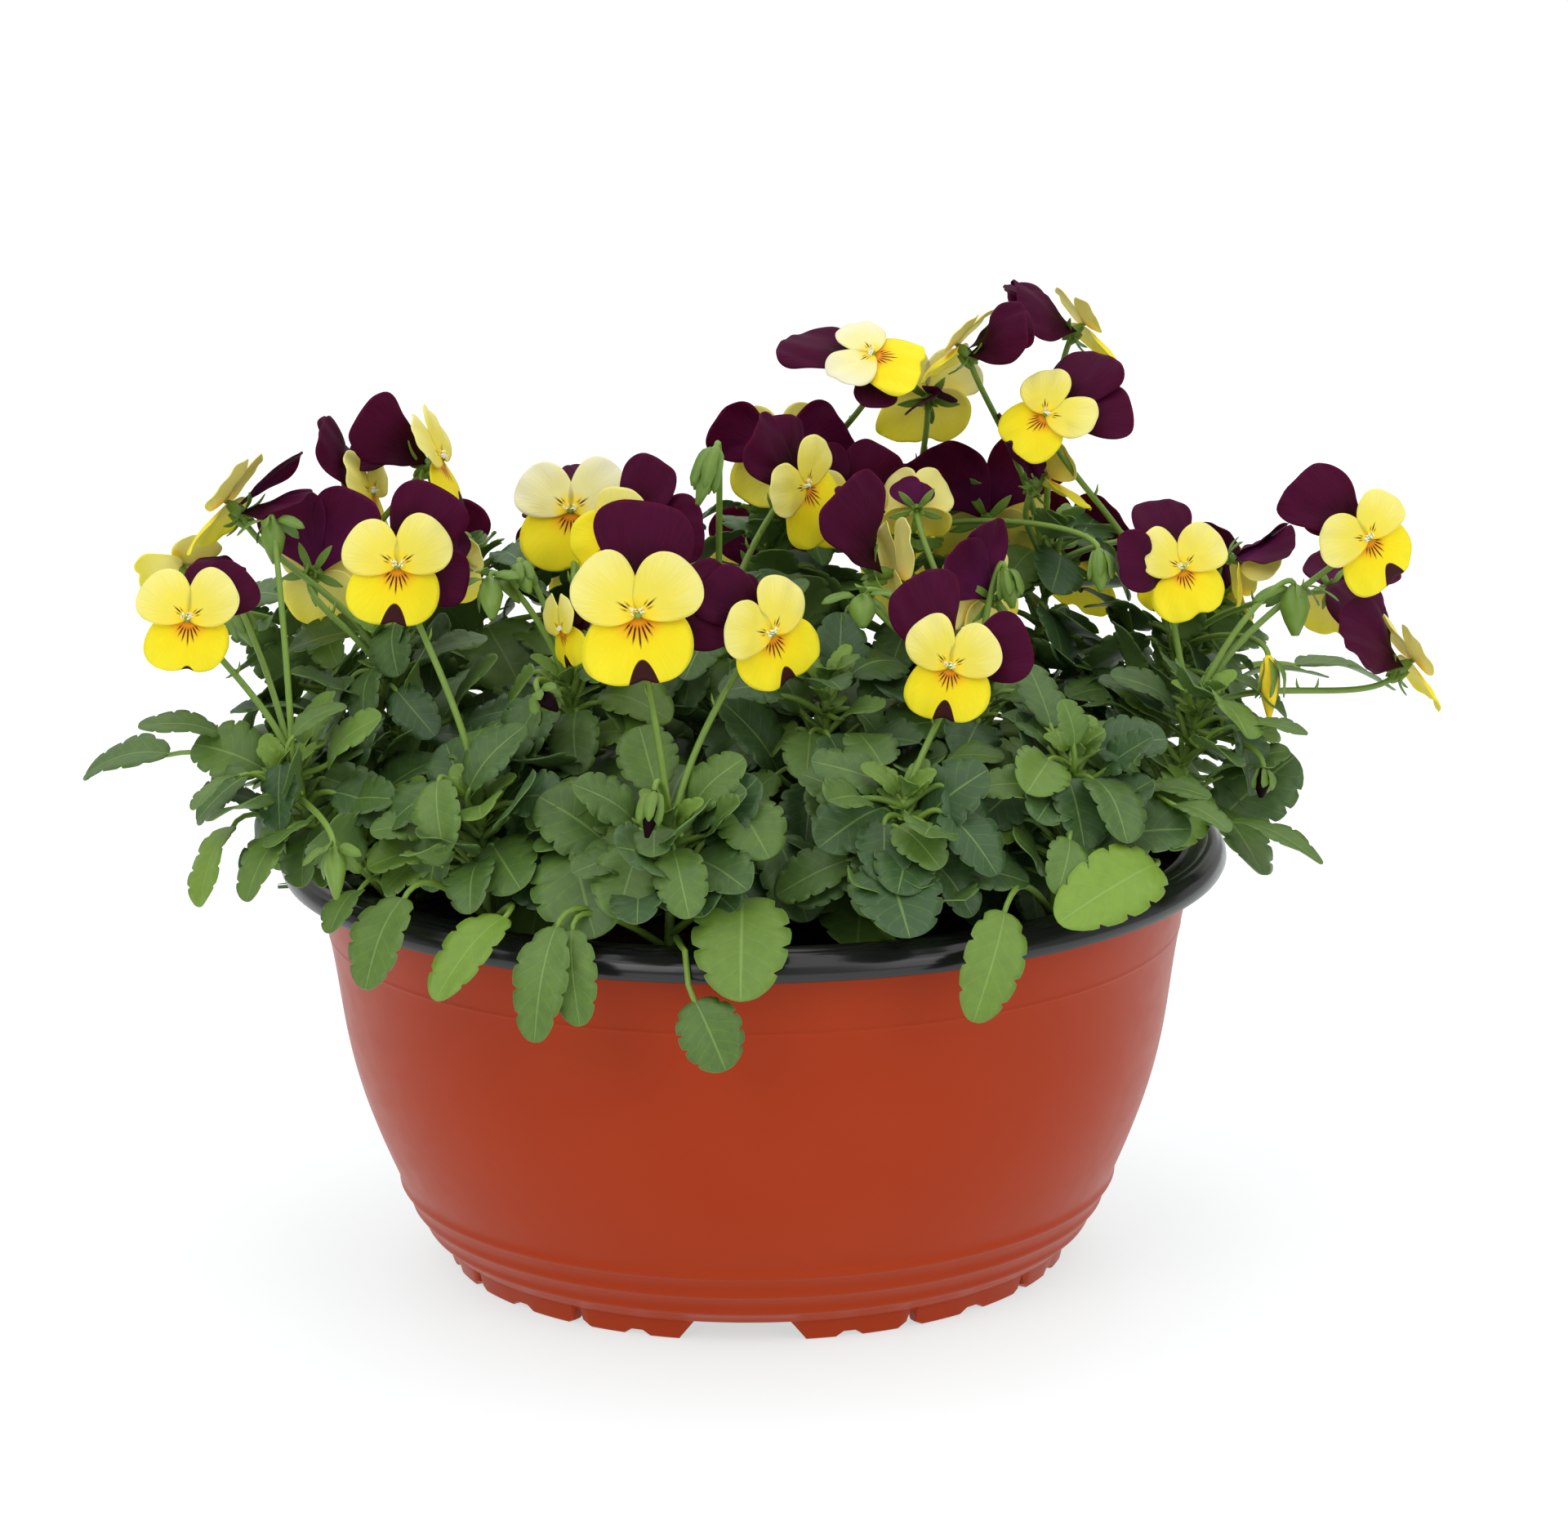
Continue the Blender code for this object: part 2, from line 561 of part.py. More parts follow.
class Bloom:
    """One flower: five petals on a hub with its calyx behind, and the stalk that carries it."""

    def __init__(
        self, number: int, throat: tuple, facing: float, lift: float, roll: float, size: float
    ) -> None:
        self.name = f"flower_{number:02d}"
        self.matrix = bloom_matrix(throat, facing, lift, roll, size)
        self.throat = Vector(throat)
        self.petals = []
        for turn, length, width, band, side, behind in PETALS:
            shape = petal_sections(turn, length, width, band, behind)
            self.petals.append((band, side, [[self.matrix @ corner for corner in part] for part in shape]))
        self.rings = []
        for back, radius in HUB_RINGS:
            angles = [math.radians(angle) for angle in HUB_ANGLES]
            ring = [Vector((radius * math.sin(a), back, radius * math.cos(a))) for a in angles]
            self.rings.append([self.matrix @ point for point in ring])
        self.stalk: list = []

    def place_head(self, placed: Placed) -> None:
        """Hold the space of the petals and the hub."""
        for _, _, sections in self.petals:
            placed.add(self.name, tube_tree(sections))
        hub = [[ring[0], ring[2], ring[4], ring[5]] for ring in self.rings]
        placed.add(self.name, tube_tree(hub))

    def stalk_sections(self, foot: Vector) -> list:
        """The stalk from behind the hub, hooking over and down to its foot."""
        start = self.matrix @ Vector((0, 2.2, -5))
        away = (self.matrix.to_3x3() @ Vector((0, 0.75, -0.65))).normalized()
        reach = (foot - start).length * 0.4
        curve = [start, start + away * min(reach, 16), foot + UP * reach, foot]
        sections = []
        for step in range(STALK_STEPS + 1):
            share = step / STALK_STEPS
            ahead = bezier(curve, min(share + 0.05, 1)) - bezier(curve, max(share - 0.05, 0))
            side = self.matrix.to_3x3() @ Vector((1, 0, 0))
            if abs(side.normalized().dot(ahead.normalized())) > 0.9:
                side = Vector((0, 1, 0))
            sections.append(section(bezier(curve, share), ahead, side, STALK_HALF, STALK_HALF))
        return sections

    def root_stalk(self, shoots: list, placed: Placed) -> bool:
        """Lead the stalk to the first clear axil of the nearest shoots."""
        def gap(shoot: Shoot) -> float:
            top = shoot.at(0.8)
            return math.hypot(top.x - self.throat.x, top.y - self.throat.y)

        for shoot in sorted(shoots, key=gap)[:6]:
            for share in (0.85, 0.7, 0.55, 0.4, 0.25):
                for turn in (0, 40, -40, 80, -80, 120, -120, 180):
                    axil = shoot.at(share)
                    toward = math.atan2(self.throat.y - axil.y, self.throat.x - axil.x) + math.radians(turn)
                    foot = axil + STALK_FOOT_GAP * Vector((math.cos(toward), math.sin(toward), 0))
                    sections = self.stalk_sections(foot)
                    if placed.is_clear(sections, self.name) and self.misses_own_petals(sections):
                        self.stalk = sections
                        placed.add(self.name, tube_tree(sections))
                        return True
        return False

    def misses_own_petals(self, sections: list) -> bool:
        """Whether the stalk stays clear of this bloom's petals."""
        tree = tube_tree(fattened(sections))
        return not any(tree.overlap(tube_tree(petal)) for _, _, petal in self.petals)

    def build(self, surface: bpy.types.Material) -> None:
        """Loft the hub and its calyx, then extrude the petals and the stalk from its sides."""
        bm = bmesh.new()
        bands = loft(bm, self.rings)
        for band, side, sections in self.petals:
            extrude_through(bm, bands[band][side], sections)
        extrude_through(bm, bands[1][STALK_SIDE], self.stalk)
        finish(bm, self.name, surface, 30)


def fill_leaf(rng: random.Random, start: Vector, azimuth: float) -> tuple:
    """A leaf chosen by rule: its petiole rises outwards and its blade levels off."""
    petiole = rng.uniform(*FILL_PETIOLE)
    blade = rng.uniform(*FILL_BLADE)
    width = rng.uniform(*FILL_WIDTH)
    rise = math.radians(rng.uniform(15, 50))
    droop = math.radians(rng.uniform(-35, 10))
    out = Vector((math.cos(azimuth), math.sin(azimuth), 0))
    base = start + out * (petiole * math.cos(rise)) + UP * (petiole * math.sin(rise))
    tip = base + out * (blade * math.cos(droop)) + UP * (blade * math.sin(droop))
    return base, tip, width


def inside_limits(tip: Vector) -> bool:
    """Whether a leaf's tip stays in the space that the foliage fills."""
    clear_of_sides = abs(tip.x) < FOLIAGE_LIMITS.x and abs(tip.y) < FOLIAGE_LIMITS.y
    return clear_of_sides and 100 < tip.z < FOLIAGE_LIMITS.z


def grow_fill(number: int, shoot: Shoot, placed: Placed) -> None:
    """Add leaves by rule where the shoot has room for them."""
    rng = random.Random(FILL_SEED + number)
    azimuth = rng.uniform(0, 360)
    for node in STEM_NODES:
        for _ in range(FILL_LEAVES_PER_NODE):
            azimuth += GOLDEN_ANGLE
            state = rng.getstate()
            for turn in FILL_TURNS:
                rng.setstate(state)
                base, tip, width = fill_leaf(rng, shoot.at(node), math.radians(azimuth + turn))
                if not inside_limits(tip):
                    continue
                if shoot.try_branch(base, leaf_sections(base, tip, width), placed, 6):
                    break


def main() -> None:
    """Build the planter from the bowl up."""
    clear_scene()
    placed = Placed()
    build_bowl(placed)
    leaf_green = material("leaf_green", (0.07, 0.16, 0.03), 0.5)
    petal_bicolour = material("petal_bicolour", (0.85, 0.62, 0.03), 0.55)

    shoots = [Shoot(i, *row) for i, row in enumerate(SHOOTS, 1)]
    for shoot in shoots:
        placed.add(shoot.name, tube_tree(shoot.stem_sections()))
    blooms = [Bloom(i, *row) for i, row in enumerate(BLOOMS, 1)]
    for bloom in blooms:
        bloom.place_head(placed)
    for bloom in blooms:
        if not bloom.root_stalk(shoots, placed):
            print("no clear stalk for", bloom.name)
    for number, tip, end, width in BUDS:
        shoot = shoots[number - 1]
        start = shoot.at(STEM_NODES[-1])
        sections = bud_sections(start, Vector(tip), Vector(end), width)
        if not shoot.try_branch(Vector(tip), sections, placed, 0):
            print("no room for the bud at", tip)
    for number, base, tip, width in LEAVES:
        shoot = shoots[number - 1]
        sections = leaf_sections(Vector(base), Vector(tip), width)
        if not shoot.try_branch(Vector(base), sections, placed, 10):
            print("no room for the leaf at", number, base)
    for number, shoot in enumerate(shoots, 1):
        grow_fill(number, shoot, placed)
    for shoot in shoots:
        shoot.build(leaf_green)
    for bloom in blooms:
        bloom.build(petal_bicolour)


main()
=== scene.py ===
"""Looks of the pansy bowl planter: bowl, soil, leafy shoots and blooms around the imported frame.

Lengths are in millimetres and angles in degrees until a mesh is finished, when it is scaled to metres.
The bowl's axis is world Z, its feet stand on z = 0, and the side that is looked at faces -Y.
"""

import logging
import math
import random
from dataclasses import dataclass, replace
from enum import Enum

import bpy
import numpy as np
from mathutils import Matrix, Vector


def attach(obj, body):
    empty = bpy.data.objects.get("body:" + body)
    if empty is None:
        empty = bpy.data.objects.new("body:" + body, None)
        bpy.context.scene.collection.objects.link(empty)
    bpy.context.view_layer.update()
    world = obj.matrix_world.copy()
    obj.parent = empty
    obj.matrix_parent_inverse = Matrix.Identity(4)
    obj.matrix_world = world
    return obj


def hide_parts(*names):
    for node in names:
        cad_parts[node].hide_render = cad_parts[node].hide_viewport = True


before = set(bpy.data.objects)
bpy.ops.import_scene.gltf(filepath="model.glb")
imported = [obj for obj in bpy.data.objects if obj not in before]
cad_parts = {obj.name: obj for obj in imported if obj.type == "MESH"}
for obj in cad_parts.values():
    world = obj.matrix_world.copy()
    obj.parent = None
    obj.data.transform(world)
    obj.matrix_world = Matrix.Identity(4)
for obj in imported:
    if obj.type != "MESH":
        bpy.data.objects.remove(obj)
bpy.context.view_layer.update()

Tree, Node, Socket = bpy.types.NodeTree, bpy.types.Node, bpy.types.NodeSocket
Source = Node | Socket | float

log = logging.getLogger("planter")
MM = 0.001
UP = np.array((0.0, 0.0, 1.0))
GOLDEN_ANGLE = 137.5


# ---------------------------------------------------------------- shared tools


def linear(code: str) -> tuple[float, float, float, float]:
    """Turn an sRGB hex colour into linear RGBA.

    Args:
        code: The colour as #RRGGBB.

    Returns:
        Red, green, blue and an alpha of 1, in linear light.
    """
    parts = [int(code[i : i + 2], 16) / 255 for i in (1, 3, 5)]
    light = [c / 12.92 if c <= 0.04045 else ((c + 0.055) / 1.055) ** 2.4 for c in parts]
    return (light[0], light[1], light[2], 1.0)


def add_node(tree: Tree, kind: str, links: dict | None = None, **settings) -> Node:
    """Add a node with its settings and its inputs.

    Args:
        tree: The node tree of a material or world.
        kind: The node's Blender type name.
        links: Input name or number to a value, a socket, or a node whose first output is meant.
        settings: Properties of the node.

    Returns:
        The new node.
    """
    node = tree.nodes.new(kind)
    for name, value in settings.items():
        setattr(node, name, value)
    for key, value in (links or {}).items():
        if isinstance(value, Node):
            value = value.outputs[0]
        if isinstance(value, Socket):
            tree.links.new(value, node.inputs[key])
        else:
            node.inputs[key].default_value = value
    return node


def maths(tree: Tree, operation: str, *values: Source, **settings) -> Node:
    """Add a maths node that works on up to three numbers, sockets or nodes."""
    return add_node(tree, "ShaderNodeMath", dict(enumerate(values)), operation=operation, **settings)


def ramp(
    tree: Tree, value: Source, low: Source, high: Source, start: Source = 0.0, end: Source = 1.0, **settings
) -> Node:
    """Add a clamped straight ramp from start, where the value is low, to end, where it is high."""
    links = {"Value": value, "From Min": low, "From Max": high, "To Min": start, "To Max": end}
    return add_node(tree, "ShaderNodeMapRange", links, **settings)


def noise(tree: Tree, place_on: Source, scale: float, detail: float) -> Node:
    """Add a noise texture."""
    return add_node(tree, "ShaderNodeTexNoise", {"Vector": place_on, "Scale": scale, "Detail": detail})


def blend(tree: Tree, share: Source, first: Socket | str, second: Socket | str) -> Socket:
    """Blend two colours.

    Args:
        tree: The node tree.
        share: The node or socket that is 0 at the first colour and 1 at the second.
        first: A colour socket or a hex colour.
        second: A colour socket or a hex colour.

    Returns:
        The blended colour's socket.
    """
    ends = [linear(colour) if isinstance(colour, str) else colour for colour in (first, second)]
    links = {"Factor": share, 6: ends[0], 7: ends[1]}
    return add_node(tree, "ShaderNodeMix", links, data_type="RGBA").outputs[2]


def bump(tree: Tree, shader: Node, height: Source, strength: float, depth_mm: float) -> None:
    """Give a shader's surface a relief."""
    links = {"Height": height, "Strength": strength, "Distance": depth_mm * MM}
    tree.links.new(add_node(tree, "ShaderNodeBump", links).outputs[0], shader.inputs["Normal"])


def new_material(name: str, **sockets) -> tuple[bpy.types.Material, Tree, Node]:
    """Start a material on a Principled shader.

    Args:
        name: The real material and how its surface was made.
        sockets: Values for the shader's own sockets, with spaces written as underscores.

    Returns:
        The material, its node tree and the shader node.
    """
    made = bpy.data.materials.new(name)
    made.use_nodes = True
    shader = made.node_tree.nodes["Principled BSDF"]
    for key, value in sockets.items():
        shader.inputs[key.replace("_", " ")].default_value = value
    return made, made.node_tree, shader


def unit(vector: np.ndarray) -> np.ndarray:
    """Scale vectors to length 1 along the last axis."""
    return vector / np.maximum(np.linalg.norm(vector, axis=-1, keepdims=True), 1e-9)


def heading(turn: float, rise: float = 0.0) -> np.ndarray:
    """A level direction turned from +X by radians, raised by a height."""
    return np.array([math.cos(turn), math.sin(turn), rise])


def bezier(points: list[np.ndarray], count: int) -> np.ndarray:
    """Points of the smooth curve that four control points give.

    Args:
        points: The four control points.
        count: How many points to return.

    Returns:
        An array of count points.
    """
    along = np.linspace(0, 1, count)[:, None]
    back = 1 - along
    a, b, c, d = (np.asarray(p, float) for p in points)
    return a * back**3 + b * 3 * along * back**2 + c * 3 * along**2 * back + d * along**3


def ring_faces(rings: int, count: int) -> list[tuple[int, ...]]:
    """Quads between neighbouring rings that hold count points each."""
    sides = [(i, (i + 1) % count) for i in range(count)]
    return [
        (r * count + i, r * count + j, (r + 1) * count + j, (r + 1) * count + i)
        for r in range(rings - 1)
        for i, j in sides
    ]


class Mesh:
    """A mesh in the making: points, faces, a material number for each face, and values for each point."""

    def __init__(self) -> None:
        """Start empty."""
        self.points: list[np.ndarray] = []
        self.faces: list[tuple[int, ...]] = []
        self.slots: list[int] = []
        self.marks: list[np.ndarray] = []
        self.shades: list[np.ndarray] = []
        self.size = 0

    def add(self, points: np.ndarray, faces: list[tuple], slot: int, marks: np.ndarray, shade: float) -> None:
        """Add a closed shape.

        Args:
            points: Its points.
            faces: Its faces, facing out.
            slot: Its material's number.
            marks: Three surface coordinates for each point, which materials read.
            shade: Its place between the two ends of its material's colour range.
        """
        self.points.append(points)
        self.faces += [tuple(i + self.size for i in face) for face in faces]
        self.slots += [slot] * len(faces)
        self.marks.append(marks)
        self.shades.append(np.full(len(points), shade))
        self.size += len(points)

    def add_sheet(
        self, grid: np.ndarray, marks: np.ndarray, thickness: float, slot: int, shade: float
    ) -> None:
        """Add a thin closed sheet that follows a grid of points.

        Args:
            grid: Rows by columns of points; the front is where columns turn anticlockwise from rows.
            marks: Two surface coordinates for each point of the grid.
            thickness: Thickness of the sheet at its middle; the edge is half as thick.
            slot: Its material's number.
            shade: Its place in its material's colour range.
        """
        rows, columns = grid.shape[:2]
        normal = unit(np.cross(np.gradient(grid, axis=1), np.gradient(grid, axis=0)))
        half = np.full((rows, columns, 1), thickness / 2)
        half[0], half[-1], half[:, 0], half[:, -1] = (thickness / 4,) * 4
        front = (grid + normal * half).reshape(-1, 3)
        back = (grid - normal * half).reshape(-1, 3)
        sides = [np.concatenate([marks.reshape(-1, 2), np.full((rows * columns, 1), s)], 1) for s in (1, -1)]
        total = rows * columns
        faces = []
        for r in range(rows - 1):
            for c in range(columns - 1):
                a, e = r * columns + c, (r + 1) * columns + c
                faces.append((a, a + 1, e + 1, e))
                faces.append((e + total, e + 1 + total, a + 1 + total, a + total))
        ring = [*range(columns), *(r * columns + columns - 1 for r in range(1, rows))]
        ring += [(rows - 1) * columns + c for c in range(columns - 2, -1, -1)]
        ring += [r * columns for r in range(rows - 2, 0, -1)]
        for a, b in zip(ring, ring[1:] + ring[:1]):
            faces.append((b, a, a + total, b + total))
        self.add(np.concatenate([front, back]), faces, slot, np.concatenate(sides), shade)

    def add_tube(self, path: np.ndarray, radii: np.ndarray, sides: int, slot: int, shade: float) -> None:
        """Add a closed tube along a path.

        Args:
            path: Its centre line.
            radii: Its radius at each point of the path.
            sides: How many sides it has.
            slot: Its material's number.
            shade: Its place in its material's colour range.
        """
        ahead = unit(np.gradient(path, axis=0))
        side = unit(np.cross(ahead[0], (0.31, 0.95, 0.05)))
        rings = []
        for point, direction, radius in zip(path, ahead, radii):
            side = unit(side - direction * side.dot(direction))
            over = np.cross(direction, side)
            turns = np.linspace(0, 2 * math.pi, sides, endpoint=False)[:, None]
            rings.append(point + (np.cos(turns) * side + np.sin(turns) * over) * radius)
        points = np.concatenate(rings)
        faces = ring_faces(len(path), sides)
        faces.append(tuple(reversed(range(sides))))
        faces.append(tuple(range(len(points) - sides, len(points))))
        lengths = np.repeat(np.arange(len(path)) / len(path), sides)
        marks = np.stack([np.zeros(len(points)), lengths, np.ones(len(points))], 1)
        self.add(points, faces, slot, marks, shade)

    def finish(self, name: str, materials: list[bpy.types.Material], sharp: float = 180) -> bpy.types.Object:
        """Scale the mesh to metres and put it in the scene.

        Args:
            name: The piece's name.
            materials: Its materials, in the order of the slot numbers.
            sharp: Edges that turn more than this many degrees are drawn sharp.

        Returns:
            The new object.
        """
        mesh = bpy.data.meshes.new(name)
        mesh.from_pydata((np.concatenate(self.points) * MM).tolist(), [], self.faces)
        mesh.polygons.foreach_set("material_index", self.slots)
        marks = mesh.attributes.new("mark", "FLOAT_VECTOR", "POINT")
        marks.data.foreach_set("vector", np.concatenate(self.marks).astype(np.float32).ravel())
        shades = mesh.attributes.new("shade", "FLOAT", "POINT")
        shades.data.foreach_set("value", np.concatenate(self.shades).astype(np.float32))
        for surface in materials:
            mesh.materials.append(surface)
        mesh.update()
        mesh.shade_smooth()
        if sharp < 180:
            mesh.set_sharp_from_angle(angle=math.radians(sharp))
        piece = bpy.data.objects.new(name, mesh)
        bpy.context.scene.collection.objects.link(piece)
        return piece


def place(piece: bpy.types.Object, slot: str, *nodes: str) -> None:
    """Fasten a piece to the frame.

    Args:
        piece: The finished piece.
        slot: The name of a material slot; it is not used.
        nodes: The CAD nodes that it stands for.
    """
    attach(piece, "root")
    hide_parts(*nodes)
    log.info("%s: %d faces", piece.name, len(piece.data.polygons))


# ---------------------------------------------------------------- finishes


@dataclass(frozen=True)
class MouldedPlastic:
    """Injection-moulded polypropylene: even colour, satin to glossy, with a faint orange-peel skin."""

    name: str
    colour: str
    scuffed: str
    roughness: float
    gloss: float
    flow_mm: float = 40.0
    # Scuffs to the metre: they are longer round the bowl than up it.
    scuffs: tuple[float, float, float] = (110.0, 110.0, 170.0)
    peel_mm: float = 1.6
    peel_depth_mm: float = 0.3
    peel_strength: float = 0.05

    def build(self) -> bpy.types.Material:
        """Make the material.

        Returns:
            Polypropylene whose colour drifts a little and whose gloss is broken by handling marks.
        """
        made, tree, shader = new_material(self.name, IOR=1.49, Specular_IOR_Level=self.gloss)
        place_on = add_node(tree, "ShaderNodeTexCoord").outputs["Object"]
        # Melt flow leaves broad, barely visible drifts of tone.
        flow = noise(tree, place_on, 1 / (self.flow_mm * MM), 3.0)
        # Handling leaves faint scuffs.
        stretch = add_node(tree, "ShaderNodeMapping", {"Vector": place_on, "Scale": self.scuffs})
        scuff = noise(tree, stretch, 1.0, 4.0)
        scuffed, drifted = ramp(tree, scuff, 0.66, 0.85, 0.0, 0.25), ramp(tree, flow, 0.3, 0.7, 0.0, 0.35)
        share = maths(tree, "MAXIMUM", scuffed, drifted)
        tree.links.new(blend(tree, share, self.colour, self.scuffed), shader.inputs["Base Color"])
        rough = ramp(tree, scuff, 0.35, 0.8, self.roughness, self.roughness + 0.07)
        tree.links.new(rough.outputs[0], shader.inputs["Roughness"])
        peel = noise(tree, place_on, 1 / (self.peel_mm * MM), 2.0)
        bump(tree, shader, peel, self.peel_strength, self.peel_depth_mm)
        return made


@dataclass(frozen=True)
class Compost:
    """Peat and bark compost: nearly black brown, crumbly and matt."""

    name: str = "peat and bark compost, loose"
    dark: str = "#1E1510"
    light: str = "#4A382A"
    crumb_mm: float = 2.2
    # Fibres to the metre, so about 4 mm apart.
    fibres: float = 260.0
    crumb_depth_mm: float = 1.2

    def build(self) -> bpy.types.Material:
        """Make the material.

        Returns:
            Compost with crumbs and pale fibres.
        """
        made, tree, shader = new_material(self.name, IOR=1.4, Roughness=0.95, Specular_IOR_Level=0.2)
        place_on = add_node(tree, "ShaderNodeTexCoord").outputs["Object"]
        cells = {"Vector": place_on, "Scale": 1 / (self.crumb_mm * MM), "Randomness": 1.0}
        crumbs = add_node(tree, "ShaderNodeTexVoronoi", cells)
        fibre = noise(tree, place_on, self.fibres, 6.0)
        share = maths(tree, "MULTIPLY", crumbs.outputs["Color"], fibre)
        tree.links.new(blend(tree, share, self.dark, self.light), shader.inputs["Base Color"])
        bump(tree, shader, maths(tree, "ADD", crumbs.outputs["Distance"], fibre), 0.9, self.crumb_depth_mm)
        return made


@dataclass(frozen=True)
class LivingGreen:
    """Living leaf or stem: a waxy skin over soft tissue that light passes into."""

    name: str
    old: str
    young: str
    vein: str
    underside: str
    roughness: float = 0.48
    veined: bool = True
    # Patches of tone to the metre, so about 3 mm across.
    mottles: float = 330.0
    side_veins: float = 7.0
    # How far a side vein has run forwards at the margin, as a share of the blade's length.
    vein_sweep: float = 0.24
    vein_strength: float = 0.55
    relief_mm: float = 0.35

    def build(self) -> bpy.types.Material:
        """Make the material.

        Returns:
            Green tissue from old to young by shade, with a pale midrib, side veins and margin on a blade.
        """
        made, tree, shader = new_material(
            self.name, IOR=1.45, Roughness=self.roughness, Subsurface_Weight=0.12, Subsurface_Scale=0.6 * MM
        )
        shader.inputs["Subsurface Radius"].default_value = (0.7, 1.0, 0.2)
        mark = add_node(tree, "ShaderNodeAttribute", attribute_name="mark").outputs["Vector"]
        shade = add_node(tree, "ShaderNodeAttribute", attribute_name="shade").outputs["Fac"]
        across, along, side = add_node(tree, "ShaderNodeSeparateXYZ", {0: mark}).outputs
        across = maths(tree, "ABSOLUTE", across)
        place_on = add_node(tree, "ShaderNodeTexCoord").outputs["Object"]
        mottle = noise(tree, place_on, self.mottles, 5.0)
        age = maths(tree, "ADD", shade, ramp(tree, mottle, 0.3, 0.7, -0.08, 0.08), use_clamp=True)
        colour, height = blend(tree, age, self.old, self.young), mottle
        if self.veined:
            # Side veins leave the midrib at even steps of the length and run forwards.
            midrib = ramp(tree, across, 0.015, 0.05, 0.75, 0.0)
            lean = maths(tree, "MULTIPLY_ADD", across, -self.vein_sweep, along)
            wave = maths(tree, "PINGPONG", maths(tree, "MULTIPLY", lean, self.side_veins), 0.5)
            veins = maths(tree, "MAXIMUM", midrib, ramp(tree, wave, 0.0, 0.08, 0.22, 0.0))
            lines = maths(tree, "MAXIMUM", veins, ramp(tree, across, 0.95, 1.0, 0.0, 0.3))
            colour = blend(tree, maths(tree, "MULTIPLY", lines, self.vein_strength), colour, self.vein)
            colour = blend(tree, ramp(tree, side, 0.5, -0.5, 0.0, 0.7), colour, self.underside)
            height = maths(tree, "MULTIPLY_ADD", veins, -0.8, height)
        tree.links.new(colour, shader.inputs["Base Color"])
        bump(tree, shader, height, 0.35, self.relief_mm)
        return made


